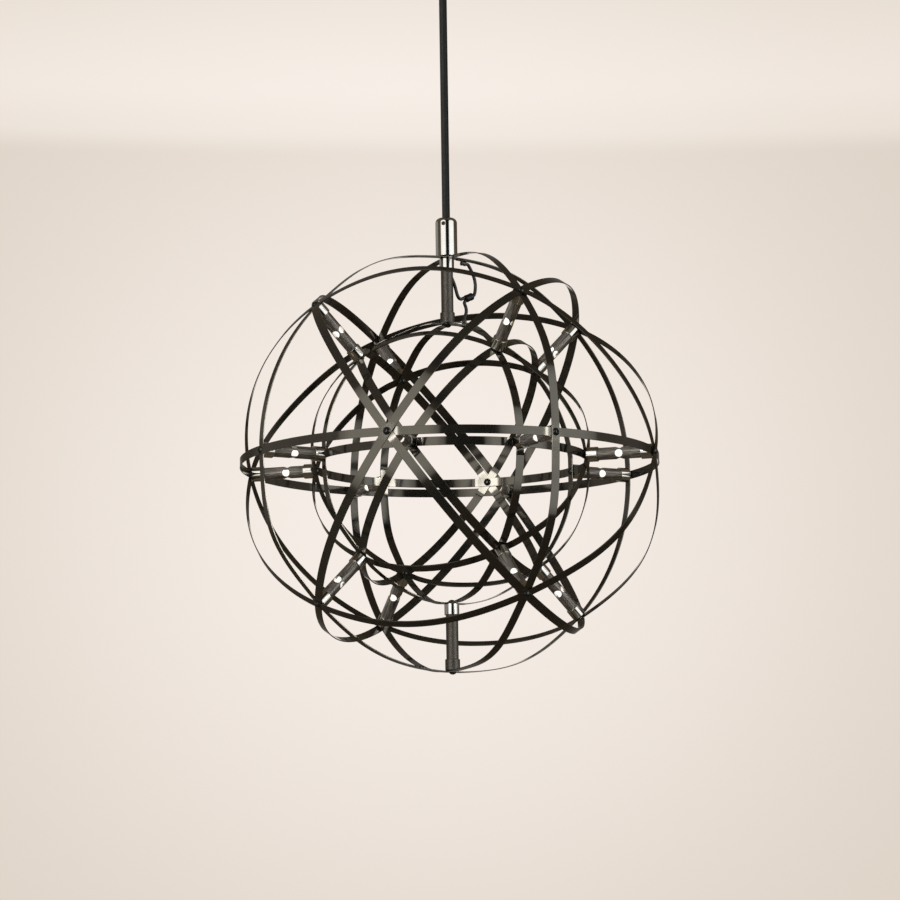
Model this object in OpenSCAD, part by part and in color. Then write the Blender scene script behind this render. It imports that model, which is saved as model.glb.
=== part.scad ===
// Cluster pendant light: two concentric orbs of riveted steel strips, joined by sixteen lamp arms,
// hung on one round cable from a ceiling canopy. Millimetres, +Z up, origin on the ceiling plane.

/* [Orbs] */
// Outer diameter of the large orb, over its strips
outer_d = 500; // [440:10:600]
// Gap between the small orb's strips and the large orb's outline, which the lamp arms span
cage_gap = 82; // [70:1:110]
// Width of every steel strip
strip_w = 10; // [8:0.5:11]
// Thickness of every steel strip
strip_t = 1.2; // [0.8:0.1:1.6]
// Compass turn from the front to the orbs' first plain crossing
heading = 28.8; // [0:0.1:89]

/* [Lamp arms] */
// Outer diameter of the lamp sleeves and of the two pole tubes
tube_d = 14.5; // [13.5:0.5:15.5]
// Wall of the lamp sleeves and of the two pole tubes
tube_wall = 0.8; // [0.6:0.1:1.1]
// Diameter of the light windows drilled across each sleeve
window_d = 9; // [6:0.5:9]
// Outer diameter of the ferrules at both ends of an arm
ferrule_d = 17.5; // [17:0.5:20]
// Length of a ferrule
ferrule_len = 13; // [10:0.5:16]
// Thickness of a ferrule's end wall, which the screw is threaded into
ferrule_wall = 5; // [4.5:0.5:6]
// Diameter of the capsule lamp's glass
lamp_d = 9; // [8:0.1:9.2]
// Length of the capsule lamp's glass
lamp_len = 22; // [18:1:26]
// Depth of the lamp's pins in its holder
pin_len = 5; // [4:0.5:7]
// Distance between the lamp's two pins
pin_pitch = 4; // [3.5:0.5:5]

/* [Fasteners] */
// Thread diameter of the crossing screws
screw_d = 4; // [3:0.5:5]
// Length of the crossing screws' grip in the ferrules
screw_grip = 4; // [3:0.5:4]
// Diameter of the crossing screws' domed heads
head_d = 9; // [7:0.5:10]
// Height of the crossing screws' domed heads
head_h = 2.6; // [1.8:0.1:3.2]
// Width across flats of the hexagon sockets
hex_af = 2.5; // [2:0.1:3]
// Thread diameter of the cord clamping screws
grub_d = 5; // [4:0.5:6]

/* [Cable and stem] */
// Diameter of the suspension cable
cable_d = 9.4; // [7:0.1:9.5]
// Length of cable from the canopy's cord grip to the stem
cable_len = 282; // [120:1:1500]
// Length of the short stretch under the cord grip in which the cable bends
bend_len = 14; // [13:1:20]
// Outer diameter of the stem
stem_d = 26; // [22:0.5:30]
// Height of the stem
stem_h = 47; // [42:1:60]
// Depth of the stem's upper zone that grips the cable
stem_grip = 18; // [15:1:20]
// Bore of the stem's lower chamber
chamber_d = 19; // [17:0.5:19.5]
// Thickness of the plug that closes the stem
plug_t = 6; // [4:0.5:8]
// Outer diameter of the hollow threaded rod under the stem
rod_d = 8; // [7.5:0.5:9]
// Bore of the hollow threaded rod
rod_bore_d = 5; // [4.5:0.1:5.5]
// Width across flats of the nut on the hollow rod
nut_af = 13; // [12:0.5:14]
// Height of the nut on the hollow rod
nut_h = 5; // [4:0.5:6]

/* [Leads] */
// Diameter of the low voltage leads beside the top tube
lead_d = 4; // [3:0.1:4.2]
// Diameter of the sleeve that gathers the leads
gather_d = 9; // [8.8:0.1:11]
// Length of the sleeve that gathers the leads
gather_len = 11; // [10:1:14]

/* [Canopy] */
// Outer diameter of the canopy cup
canopy_d = 120; // [110:5:160]
// Height of the canopy cup
canopy_h = 28; // [26:1:45]
// Wall of the canopy cup
canopy_wall = 1.2; // [1:0.1:2]
// Radius of the canopy cup's lower edge
canopy_round = 4; // [2:0.5:6]
// Thickness of the ceiling plate
plate_t = 2; // [1.5:0.1:3]
// Distance between the two ceiling screw holes
hole_pitch = 70; // [60:1:80]
// Diameter of the ceiling screw holes
hole_d = 5; // [4:0.5:6]
// Diameter of the canopy's two side screws
side_screw_d = 4; // [3:0.5:5]
// Diameter of the cord grip under the canopy
grip_d = 16; // [15:0.5:20]
// Height of the cord grip under the canopy
grip_h = 18; // [14:1:26]
// Diameter of the cord grip's threaded spigot
spigot_d = 13; // [12.5:0.5:14]

/* [Clearances] */
// Gap between strips that lie on each other
lay_gap = 0.05; // [0.03:0.01:0.1]
// Radial clearance of screws in threads and of tubes in sockets
slip_gap = 0.05; // [0.02:0.01:0.1]
// Gap between parts that turn on each other
run_gap = 0.3; // [0.2:0.05:0.5]

/* [Hidden] */
$fn = 64;

// Finishes
black_nickel = "#2b2a28";
screw_black = "#1b1a18";
cable_black = "#161616";
lead_black = "#0f0f10";
lamp_glass = "#fff6e0";
ceramic = "#e9e4d8";
brass = "#b89a5a";
case_white = "#e8e8e6";
zinc = "#a9acae";

// Strips: every crossing is flat over the rhombus in which two strips cover each other
slant_angle = atan(sqrt(2));
flat_margin = 0.6;
flat_half = strip_w / 2 / tan(slant_angle / 2) + flat_margin;
arc_steps = 12;
lay_pitch = strip_t + lay_gap;
strips_at_crossing = 3;
seat_out = outer_d / 2 - strips_at_crossing * strip_t - (strips_at_crossing - 1) * lay_gap;
seat_in = outer_d / 2 - cage_gap;
plain_crossings = 8;
slant_crossings = 6;
hole_clear = 0.4;
cut = 1;

// Layers, counted outwards from the arms' outer ends: meridians cross above the equator's front
outer_equator_layers = [0, 0, 1, 0, 0, 0, 1, 0];
outer_meridian_a_layers = [1, 0, 0, 0, 1, 0, 0, 0];
outer_meridian_b_layers = [0, 0, 1, 0, 0, 0, 1, 0];
outer_slant_layers = [1, 2, 1, 2, 1, 2];
// Layers, counted inwards from the arms' inner ends
inner_equator_layers = [1, 2, 0, 2, 1, 2, 0, 2];
inner_meridian_a_layers = [0, 2, 1, 2, 0, 2, 1, 2];
inner_meridian_b_layers = [1, 2, 0, 2, 1, 2, 0, 2];
inner_slant_layers = [1, 0, 1, 0, 1, 0];
top_crossing = 2;

// Arms
arm_len = seat_out - seat_in;
tube_len = arm_len - 2 * ferrule_wall;
socket_d = tube_d + 2 * slip_gap;
thread_d = screw_d + 2 * slip_gap;
ferrule_chamfer = 0.5;
sleeve_start = seat_in + ferrule_wall;
tube_bore_d = tube_d - 2 * tube_wall;
lamp_mid = (seat_out + seat_in) / 2;
lamp_seat = lamp_mid - lamp_len / 2;
pin_d = 0.8;
pin_hole_d = 1;
holder_gap = 1;
holder_d = tube_bore_d - 4 * slip_gap;
holder_start = sleeve_start + 4 * slip_gap;
holder_len = lamp_seat - holder_gap - holder_start;
contact_w = 2;
contact_t = 0.4;
contact_wall_gap = 0.25;
contact_r = tube_bore_d / 2 - contact_t - contact_wall_gap;
contact_lap = 6;
contact_foot_d = tube_bore_d - 1;
// Turn of each sleeve about its own arm, as its windows were left
sleeve_clock = [20, 10, 10, 30, 70, 80, 65, 45, 35, 30, 40, 22, 30, 55, 45, 45];
// Distance of each sleeve's windows from its middle, outwards, as the sleeves were drilled
sleeve_shift = [6, 0, 0, 0, -4.5, -4.5, 0, 0, 0, -5, -6, 0, 6, 0, -6, 4.5];

// Heights, downwards from the ceiling
grip_z = -canopy_h - grip_h;
bend_z = grip_z - bend_len;
stem_top_z = grip_z - cable_len;
stem_bottom_z = stem_top_z - stem_h;
pole_stack = 2 * strip_t + lay_gap;
orb_z = stem_bottom_z - run_gap - pole_stack - seat_out;
pole_z = orb_z + seat_out + pole_stack;

// Cable, whose two bending points are balls in hollow ends
cable_r = cable_d / 2;
cable_hole_d = cable_d + 0.8;
ball_gap = 0.3;
ball_r = cable_r + ball_gap;
cable_head_top = 14;

// Stem
stem_round = 6;
stem_chamfer = 0.5;
grub_drop = 8.5;
grub_turn = -15;
grub_proud = 0.4;
grub_len = stem_d / 2 - cable_r - slip_gap + grub_proud;
rod_top_z = stem_bottom_z + plug_t + run_gap + nut_h + 1;
rod_bottom_z = orb_z + seat_out - ferrule_wall;
rod_hole_d = rod_d + hole_clear;

// Leads, all in the plane of the second meridian, as [outwards, up] from the orbs' centre
lead_sides = 8;
lead_top = stem_top_z - stem_grip - 0.5 - orb_z;
supply_route = [
    [0, 262], [0, 250], [0, 243], [0.7, 237], [2.6, 231.5], [4.8, 227], [7, 222.8], [9.2, 218.2],
    [10.9, 213.5], [12.3, 208.6], [13.8, 203.8], [15.9, 200.4], [18.6, 199.2], [21.2, 200.2],
    [23.36, 201.3]
];
outer_lead_route = [
    [34.8, 204.35], [36.2, 205.3], [37.4, 207.4], [38.2, 211], [38.6, 215.5], [38.4, 220.5],
    [37.1, 226.5], [34.9, 231.8], [32.6, 236.2], [30.6, 239.7], [28.8, 242], [25.9, 242.8]
];
inner_lead_route = [
    [25.04, 197.6], [23.85, 196.6], [23.3, 195.2], [23.6, 193.65], [24.6, 191.3], [25.5, 188.2],
    [25.7, 185], [25.1, 181.8], [24.1, 179], [23.3, 176.4], [22.75, 173.3]
];
gather_start = [24.5, 199.6];
gather_heading = [0.909, 0.418];
slot_low = 209;
slot_high = 231;
slot_w = 5;
lug_t = 0.8;
lug_w = 6;
lug_len = 12;
lug_cup_d = 6;
outer_lug_angle = 4.6;
inner_lug_angle = 7.5;

// Canopy
canopy_in_r = canopy_d / 2 - canopy_wall;
tab_w = 14;
tab_h = 14;
tab_t = 3;
tab_gap = 0.3;
plate_r = canopy_in_r - tab_gap;
side_screw_drop = 9;
driver_size = [30, 78, 14];
driver_round = 3;
driver_top = -plate_t;
block_size = [16, 20, 10];
block_at = [30, 30];
nut_gap = 0.2;
grip_nut_af = 18;
grip_nut_h = 3;

// Radius of a strip's outer face at one layer of an orb
function outer_face(layer) = seat_out + strip_t + layer * lay_pitch;
function inner_face(layer) = seat_in - layer * lay_pitch;
function faces_out(layers) = [for (layer = layers) outer_face(layer)];
function faces_in(layers) = [for (layer = layers) inner_face(layer)];

// Smooth share of the way from one crossing's layer to the next
function ease(u) = (1 - cos(180 * u)) / 2;

// Outline of one face of a strip: flat at its crossings, easing from layer to layer between them
function ring_outline(faces) =
    let (n = len(faces), step = 360 / n)
    [for (i = [0:n - 1])
        let (
            here = faces[i],
            next = faces[(i + 1) % n],
            lean_here = atan(flat_half / here),
            lean_next = atan(flat_half / next),
            r_here = here / cos(lean_here),
            r_next = next / cos(lean_next),
            span = step - lean_here - lean_next
        )
        for (k = [0:arc_steps])
            let (
                u = k / arc_steps,
                a = i * step + lean_here + span * u,
                r = r_here + (r_next - r_here) * ease(u)
            )
            [r * cos(a), r * sin(a)]];

module strip_ring(faces, top_hole_d) {
    inside = [for (face = faces) face - strip_t];
    difference() {
        linear_extrude(strip_w, center = true)
            difference() {
                polygon(ring_outline(faces));
                polygon(ring_outline(inside));
            }
        for (i = [0:len(faces) - 1])
            rotate([0, 0, i * 360 / len(faces)])
                translate([faces[i] - strip_t - cut, 0, 0])
                    rotate([0, 90, 0])
                        cylinder(d = i == top_crossing ? top_hole_d : screw_d + hole_clear,
                                 h = strip_t + 2 * cut);
    }
}

// Places things in the orbs' own frame
module in_orb() {
    translate([0, 0, orb_z])
        rotate([0, 0, heading - 90])
            children();
}

module equator(faces) {
    color(black_nickel)
        in_orb()
            strip_ring(faces, screw_d + hole_clear);
}

module meridian(turn, faces, top_hole_d) {
    color(black_nickel)
        in_orb()
            rotate([90, 0, turn])
                strip_ring(faces, top_hole_d);
}

module slant(number, faces) {
    color(black_nickel)
        in_orb()
            rotate([0, 0, 90 * (number - 1) - 45])
                rotate([-slant_angle, 0, 0])
                    strip_ring(faces, screw_d + hole_clear);
}

// Directions of the sixteen lamp arms, as [turn, rise]: eight level, four raised, four lowered
lamp_arms = [
    for (k = [0:7]) [45 * k, 0],
    for (k = [0:3]) [90 * k, 45],
    for (k = [0:3]) [90 * k, -45]
];
top_pole = [0, 90];
bottom_pole = [0, -90];
all_arms = concat(lamp_arms, [top_pole, bottom_pole]);

// An arm ends under two strips on the orbs' six plain crossings, and under three on the others
function is_plain(arm) = abs(arm[1]) == 90 || (arm[1] == 0 && arm[0] % 90 == 0);
function stack(arm) = is_plain(arm) ? pole_stack : pole_stack + lay_pitch;

// Stands things on the orbs' centre, with +Z along an arm
module along(arm) {
    in_orb()
        rotate([0, 90 - arm[1], arm[0]])
            children();
}

module dome(d, h) {
    ball = (d * d / 4 + h * h) / (2 * h);
    intersection() {
        translate([0, 0, h - ball])
            sphere(r = ball);
        cylinder(d = d, h = h);
    }
}

// A domed screw with its shank below z = 0 and a hexagon socket in its head
module dome_screw(shank) {
    difference() {
        union() {
            dome(head_d, head_h);
            translate([0, 0, -shank])
                cylinder(d = screw_d, h = shank + head_h / 2);
        }
        translate([0, 0, head_h - hex_af / 2])
            cylinder(d = hex_af / cos(30), h = hex_af, $fn = 6);
    }
}

// A ferrule whose wall stands on z = 0 and whose socket opens upwards
module ferrule(wall_hole_d) {
    difference() {
        union() {
            cylinder(d1 = ferrule_d - 2 * ferrule_chamfer, d2 = ferrule_d, h = ferrule_chamfer);
            translate([0, 0, ferrule_chamfer])
                cylinder(d = ferrule_d, h = ferrule_len - 2 * ferrule_chamfer);
            translate([0, 0, ferrule_len - ferrule_chamfer])
                cylinder(d1 = ferrule_d, d2 = ferrule_d - 2 * ferrule_chamfer, h = ferrule_chamfer);
        }
        translate([0, 0, ferrule_wall])
            cylinder(d = socket_d, h = ferrule_len);
        translate([0, 0, -cut])
            cylinder(d = wall_hole_d, h = ferrule_len);
    }
}

module outer_ferrules() {
    color(black_nickel)
        for (arm = all_arms)
            along(arm)
                translate([0, 0, seat_out])
                    mirror([0, 0, 1])
                        ferrule(arm == top_pole ? rod_d + 2 * slip_gap : thread_d);
}

module inner_ferrules() {
    color(black_nickel)
        for (arm = all_arms)
            along(arm)
                translate([0, 0, seat_in])
                    ferrule(thread_d);
}

module outer_screws() {
    color(screw_black)
        for (arm = concat(lamp_arms, [bottom_pole]))
            along(arm)
                translate([0, 0, seat_out + stack(arm)])
                    dome_screw(stack(arm) + screw_grip);
}

module inner_screws() {
    color(screw_black)
        for (arm = all_arms)
            along(arm)
                translate([0, 0, seat_in - stack(arm)])
                    mirror([0, 0, 1])
                        dome_screw(stack(arm) + screw_grip);
}

module plain_tube() {
    difference() {
        cylinder(d = tube_d, h = tube_len);
        translate([0, 0, -cut])
            cylinder(d = tube_bore_d, h = tube_len + 2 * cut);
    }
}

module lamp_sleeve(number) {
    color(black_nickel)
        along(lamp_arms[number - 1])
            translate([0, 0, sleeve_start])
                difference() {
                    plain_tube();
                    for (side = [0, 90])
                        rotate([0, 0, sleeve_clock[number - 1] + side])
                            translate([0, 0, tube_len / 2 + sleeve_shift[number - 1]])
                                rotate([0, 90, 0])
                                    cylinder(d = window_d, h = tube_d + 2 * cut, center = true);
                }
}

module top_tube() {
    color(black_nickel)
        along(top_pole)
            difference() {
                translate([0, 0, sleeve_start])
                    plain_tube();
                translate([0, tube_d / 2, (slot_low + slot_high) / 2])
                    rotate([90, 0, 0])
                        linear_extrude(tube_d, center = true)
                            hull() {
                                translate([0, (slot_high - slot_low - slot_w) / 2])
                                    circle(d = slot_w);
                                translate([0, -(slot_high - slot_low - slot_w) / 2])
                                    circle(d = slot_w);
                            }
            }
}

module bottom_tube() {
    color(black_nickel)
        along(bottom_pole)
            translate([0, 0, sleeve_start])
                plain_tube();
}

module lamp_holders() {
    color(ceramic)
        for (i = [0:len(lamp_arms) - 1])
            along(lamp_arms[i])
                translate([0, 0, holder_start])
                    rotate([0, 0, sleeve_clock[i] + 45])
                        difference() {
                            cylinder(d = holder_d, h = holder_len);
                            for (side = [-1, 1])
                                translate([0, side * pin_pitch / 2, holder_len - pin_len - 0.5])
                                    cylinder(d = pin_hole_d, h = pin_len + cut);
                            translate([contact_r - slip_gap, -contact_w / 2 - slip_gap,
                                       holder_len - contact_lap])
                                cube([tube_d, contact_w + 2 * slip_gap, contact_lap + cut]);
                        }
}

module lamps() {
    color(lamp_glass)
        for (i = [0:len(lamp_arms) - 1])
            along(lamp_arms[i])
                translate([0, 0, lamp_seat])
                    rotate([0, 0, sleeve_clock[i] + 45]) {
                        cylinder(d = lamp_d, h = lamp_len - lamp_d / 2);
                        translate([0, 0, lamp_len - lamp_d / 2])
                            sphere(d = lamp_d);
                        for (side = [-1, 1])
                            translate([0, side * pin_pitch / 2, -pin_len - holder_gap])
                                cylinder(d = pin_d, h = pin_len + holder_gap + cut);
                    }
}

module lamp_contacts() {
    strip_start = holder_start + holder_len - contact_lap + slip_gap;
    foot_z = seat_out - ferrule_wall - slip_gap;
    color(brass)
        for (i = [0:len(lamp_arms) - 1])
            along(lamp_arms[i])
                rotate([0, 0, sleeve_clock[i] + 45]) {
                    translate([contact_r, -contact_w / 2, strip_start])
                        cube([contact_t, contact_w, foot_z - strip_start]);
                    translate([0, 0, foot_z - contact_t])
                        cylinder(d = contact_foot_d, h = contact_t);
                }
}

// A cable stretch with a ball at its top end, and a hollow at its bottom end if another follows
module cable_stretch(top, bottom, hollow) {
    difference() {
        union() {
            translate([0, 0, bottom])
                cylinder(r = cable_r, h = top - bottom);
            translate([0, 0, top])
                sphere(r = cable_r);
        }
        if (hollow)
            translate([0, 0, bottom])
                sphere(r = ball_r);
    }
}

module cable_head() {
    color(cable_black)
        difference() {
            translate([0, 0, grip_z])
                cylinder(r = cable_r, h = driver_top - driver_size[2] - grip_z);
            translate([0, 0, grip_z])
                sphere(r = ball_r);
        }
}

module cable_bend() {
    color(cable_black)
        cable_stretch(grip_z, bend_z, true);
}

module cable() {
    color(cable_black)
        cable_stretch(bend_z, stem_top_z - stem_grip, false);
}

// A headless clamping screw along +X, from the cable's surface outwards
module grub(length) {
    translate([cable_r + slip_gap, 0, 0])
        rotate([0, 90, 0])
            difference() {
                cylinder(d = grub_d, h = length);
                translate([0, 0, length - hex_af])
                    cylinder(d = hex_af / cos(30), h = hex_af + cut, $fn = 6);
            }
}

module stem_outline() {
    chamber_r = chamber_d / 2;
    bore_r = cable_hole_d / 2;
    outer_r = stem_d / 2;
    arc = [for (a = [0:15:90])
        [outer_r - stem_round + stem_round * cos(a), stem_h - stem_round + stem_round * sin(a)]];
    polygon(concat(
        [[chamber_r, 0], [outer_r - stem_chamfer, 0], [outer_r, stem_chamfer]],
        arc,
        [[bore_r, stem_h], [bore_r, stem_h - stem_grip], [chamber_r, stem_h - stem_grip]]
    ));
}

module stem() {
    color(black_nickel)
        difference() {
            translate([0, 0, stem_bottom_z])
                rotate_extrude()
                    stem_outline();
            translate([0, 0, stem_top_z - grub_drop])
                rotate([0, 90, grub_turn - 90])
                    cylinder(d = grub_d + 2 * slip_gap, h = stem_d);
        }
}

module stem_plug() {
    color(black_nickel)
        translate([0, 0, stem_bottom_z])
            difference() {
                cylinder(d = chamber_d - 2 * slip_gap, h = plug_t);
                translate([0, 0, -cut])
                    cylinder(d = rod_d + 2 * slip_gap, h = plug_t + 2 * cut);
            }
}

module stem_screw() {
    color(screw_black)
        translate([0, 0, stem_top_z - grub_drop])
            rotate([0, 0, grub_turn - 90])
                grub(grub_len);
}

module stem_rod() {
    color(zinc)
        translate([0, 0, rod_bottom_z])
            difference() {
                cylinder(d = rod_d, h = rod_top_z - rod_bottom_z);
                translate([0, 0, -cut])
                    cylinder(d = rod_bore_d, h = rod_top_z - rod_bottom_z + 2 * cut);
            }
}

module stem_nut() {
    color(zinc)
        translate([0, 0, stem_bottom_z + plug_t + run_gap])
            difference() {
                cylinder(d = nut_af / cos(30), h = nut_h, $fn = 6);
                translate([0, 0, -cut])
                    cylinder(d = rod_d + 2 * slip_gap, h = nut_h + 2 * cut);
            }
}

// Heading of a route at one of its points
function heading_at(route, i) =
    let (
        before = route[max(i - 1, 0)],
        after = route[min(i + 1, len(route) - 1)],
        way = after - before
    )
    way / norm(way);

// A round lead swept along a route that lies in the plane of the second meridian
module lead(route) {
    n = len(route);
    rings = [for (i = [0:n - 1])
        let (way = heading_at(route, i), side = [-way[1], way[0]])
        for (k = [0:lead_sides - 1])
            let (
                a = 360 * (k + 0.5) / lead_sides,
                across = lead_d / 2 * cos(a),
                along = lead_d / 2 * sin(a)
            )
            [across, route[i][0] + side[0] * along, route[i][1] + side[1] * along]];
    walls = [for (i = [0:n - 2]) for (k = [0:lead_sides - 1])
        let (here = i * lead_sides, next = (k + 1) % lead_sides)
        each [
            [here + k, here + next, here + lead_sides + next],
            [here + k, here + lead_sides + next, here + lead_sides + k]
        ]];
    start_cap = [for (k = [0:lead_sides - 1]) lead_sides - 1 - k];
    end_cap = [for (k = [0:lead_sides - 1]) (n - 1) * lead_sides + k];
    polyhedron(rings, concat(walls, [start_cap, end_cap]));
}

module supply_lead() {
    color(lead_black)
        in_orb()
            lead(concat([[0, lead_top]], supply_route));
}

module orb_leads() {
    color(lead_black)
        in_orb() {
            lead(outer_lead_route);
            lead(inner_lead_route);
        }
}

module lead_gather() {
    color(lead_black)
        in_orb()
            translate([0, gather_start[0], gather_start[1]])
                rotate([-atan(gather_heading[0] / gather_heading[1]), 0, 0])
                    cylinder(d = gather_d, h = gather_len);
}

// Turns +Z from straight up to a place on the second meridian
module on_meridian(angle, radius) {
    in_orb()
        rotate([-angle, 0, 0])
            translate([0, 0, radius])
                children();
}

module lead_lugs() {
    outer_r = outer_face(outer_meridian_b_layers[top_crossing]) - strip_t;
    inner_r = inner_face(inner_meridian_b_layers[top_crossing]);
    color(black_nickel) {
        on_meridian(outer_lug_angle, outer_r - lug_t) {
            translate([-lug_w / 2, -lug_len / 2, 0])
                cube([lug_w, lug_len, lug_t]);
            translate([0, lug_len / 2, (lug_t - lug_cup_d) / 2])
                rotate([90, 0, 0])
                    cylinder(d = lug_cup_d, h = lug_len / 2);
        }
        on_meridian(inner_lug_angle, inner_r + run_gap) {
            translate([-lug_w / 2, -lug_len / 2, 0])
                cube([lug_w, lug_len, lug_t]);
            cylinder(d = lug_cup_d, h = lug_len / 2);
        }
    }
}

module ceiling_plate() {
    color(zinc)
        difference() {
            union() {
                translate([0, 0, -plate_t])
                    cylinder(r = plate_r, h = plate_t);
                intersection() {
                    translate([0, 0, -tab_h])
                        cylinder(r = plate_r, h = tab_h);
                    for (side = [-1, 1])
                        translate([side * (plate_r - tab_t / 2), 0, -tab_h / 2])
                            cube([tab_t, tab_w, tab_h], center = true);
                }
            }
            for (side = [-1, 1]) {
                translate([side * hole_pitch / 2, 0, -plate_t - cut])
                    cylinder(d = hole_d, h = plate_t + 2 * cut);
                translate([side * (plate_r - tab_t / 2), 0, -side_screw_drop])
                    rotate([0, 90, 0])
                        cylinder(d = side_screw_d + 2 * slip_gap, h = 3 * tab_t, center = true);
            }
        }
}

module canopy_outline() {
    outer_r = canopy_d / 2;
    bend_in = max(canopy_round - canopy_wall, 0.5);
    outer_arc = [for (a = [0:15:90])
        [outer_r - canopy_round + canopy_round * sin(a), -canopy_h + canopy_round - canopy_round * cos(a)]];
    inner_arc = [for (a = [90:-15:0])
        [canopy_in_r - bend_in + bend_in * sin(a), canopy_wall - canopy_h + bend_in - bend_in * cos(a)]];
    polygon(concat(
        [[spigot_d / 2 + slip_gap, -canopy_h]],
        outer_arc,
        [[outer_r, 0], [canopy_in_r, 0]],
        inner_arc,
        [[spigot_d / 2 + slip_gap, canopy_wall - canopy_h]]
    ));
}

module canopy_cup() {
    color(black_nickel)
        difference() {
            rotate_extrude()
                canopy_outline();
            translate([0, 0, -side_screw_drop])
                rotate([0, 90, 0])
                    cylinder(d = side_screw_d + hole_clear, h = canopy_d + 2 * cut, center = true);
        }
}

module canopy_screws() {
    color(screw_black)
        for (side = [0, 180])
            rotate([0, 0, side])
                translate([canopy_d / 2, 0, -side_screw_drop])
                    rotate([0, 90, 0]) {
                        dome(2 * side_screw_d, side_screw_d / 2);
                        translate([0, 0, plate_r - tab_t - canopy_d / 2])
                            cylinder(d = side_screw_d, h = canopy_d / 2 - plate_r + tab_t + side_screw_d / 4);
                    }
}

module lamp_driver() {
    color(case_white)
        translate([0, 0, driver_top - driver_size[2]])
            linear_extrude(driver_size[2])
                offset(r = driver_round)
                    square([driver_size[0] - 2 * driver_round, driver_size[1] - 2 * driver_round],
                           center = true);
}

module mains_block() {
    color(ceramic)
        translate([block_at[0], block_at[1], -plate_t - block_size[2] / 2])
            difference() {
                cube(block_size, center = true);
                for (side = [-1, 1])
                    translate([0, side * block_size[1] / 4, 0])
                        rotate([0, 90, 0])
                            cylinder(d = block_size[2] / 2, h = block_size[0] + 2 * cut, center = true);
            }
}

module cord_grip() {
    color(black_nickel)
        difference() {
            union() {
                translate([0, 0, grip_z])
                    cylinder(d1 = grip_d - 2 * stem_chamfer, d2 = grip_d, h = stem_chamfer);
                translate([0, 0, grip_z + stem_chamfer])
                    cylinder(d = grip_d, h = grip_h - stem_chamfer);
                translate([0, 0, -canopy_h])
                    cylinder(d = spigot_d, h = canopy_wall + nut_gap + grip_nut_h);
            }
            translate([0, 0, grip_z - cut])
                cylinder(d = cable_hole_d, h = grip_h + canopy_h);
            translate([0, 0, grip_z + grip_h / 2])
                rotate([0, 90, 0])
                    cylinder(d = grub_d - 1 + 2 * slip_gap, h = grip_d);
        }
}

module grip_nut() {
    color(zinc)
        translate([0, 0, canopy_wall + nut_gap - canopy_h])
            difference() {
                cylinder(d = grip_nut_af / cos(30), h = grip_nut_h, $fn = 6);
                translate([0, 0, -cut])
                    cylinder(d = spigot_d + 2 * slip_gap, h = grip_nut_h + 2 * cut);
            }
}

module grip_screw() {
    color(screw_black)
        translate([0, 0, grip_z + grip_h / 2])
            translate([cable_r + slip_gap, 0, 0])
                rotate([0, 90, 0])
                    difference() {
                        cylinder(d = grub_d - 1, h = grip_d / 2 - cable_r);
                        translate([0, 0, grip_d / 2 - cable_r - hex_af / 2])
                            cylinder(d = (hex_af - 0.5) / cos(30), h = hex_af, $fn = 6);
                    }
}

ceiling_plate();
canopy_cup();
canopy_screws();
lamp_driver();
mains_block();
cord_grip();
grip_nut();
grip_screw();
cable_head();
cable_bend();
cable();
stem();
stem_plug();
stem_screw();
stem_rod();
stem_nut();
top_tube();
bottom_tube();
supply_lead();
orb_leads();
lead_gather();
lead_lugs();
equator(faces_out(outer_equator_layers));  // outer_equator
meridian(0, faces_out(outer_meridian_a_layers), rod_hole_d);  // outer_meridian_a
meridian(90, faces_out(outer_meridian_b_layers), rod_hole_d);  // outer_meridian_b
slant(1, faces_out(outer_slant_layers));  // outer_slant_1
slant(2, faces_out(outer_slant_layers));  // outer_slant_2
slant(3, faces_out(outer_slant_layers));  // outer_slant_3
slant(4, faces_out(outer_slant_layers));  // outer_slant_4
equator(faces_in(inner_equator_layers));  // inner_equator
meridian(0, faces_in(inner_meridian_a_layers), screw_d + hole_clear);  // inner_meridian_a
meridian(90, faces_in(inner_meridian_b_layers), screw_d + hole_clear);  // inner_meridian_b
slant(1, faces_in(inner_slant_layers));  // inner_slant_1
slant(2, faces_in(inner_slant_layers));  // inner_slant_2
slant(3, faces_in(inner_slant_layers));  // inner_slant_3
slant(4, faces_in(inner_slant_layers));  // inner_slant_4
lamp_sleeve(1);  // lamp_sleeve_1
lamp_sleeve(2);  // lamp_sleeve_2
lamp_sleeve(3);  // lamp_sleeve_3
lamp_sleeve(4);  // lamp_sleeve_4
lamp_sleeve(5);  // lamp_sleeve_5
lamp_sleeve(6);  // lamp_sleeve_6
lamp_sleeve(7);  // lamp_sleeve_7
lamp_sleeve(8);  // lamp_sleeve_8
lamp_sleeve(9);  // lamp_sleeve_9
lamp_sleeve(10);  // lamp_sleeve_10
lamp_sleeve(11);  // lamp_sleeve_11
lamp_sleeve(12);  // lamp_sleeve_12
lamp_sleeve(13);  // lamp_sleeve_13
lamp_sleeve(14);  // lamp_sleeve_14
lamp_sleeve(15);  // lamp_sleeve_15
lamp_sleeve(16);  // lamp_sleeve_16
outer_ferrules();
inner_ferrules();
outer_screws();
inner_screws();
lamp_holders();
lamps();
lamp_contacts();
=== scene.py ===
import math

import bmesh
import bpy
from bpy.props import FloatProperty, FloatVectorProperty, IntProperty, PointerProperty
from mathutils import Matrix, Vector


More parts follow.
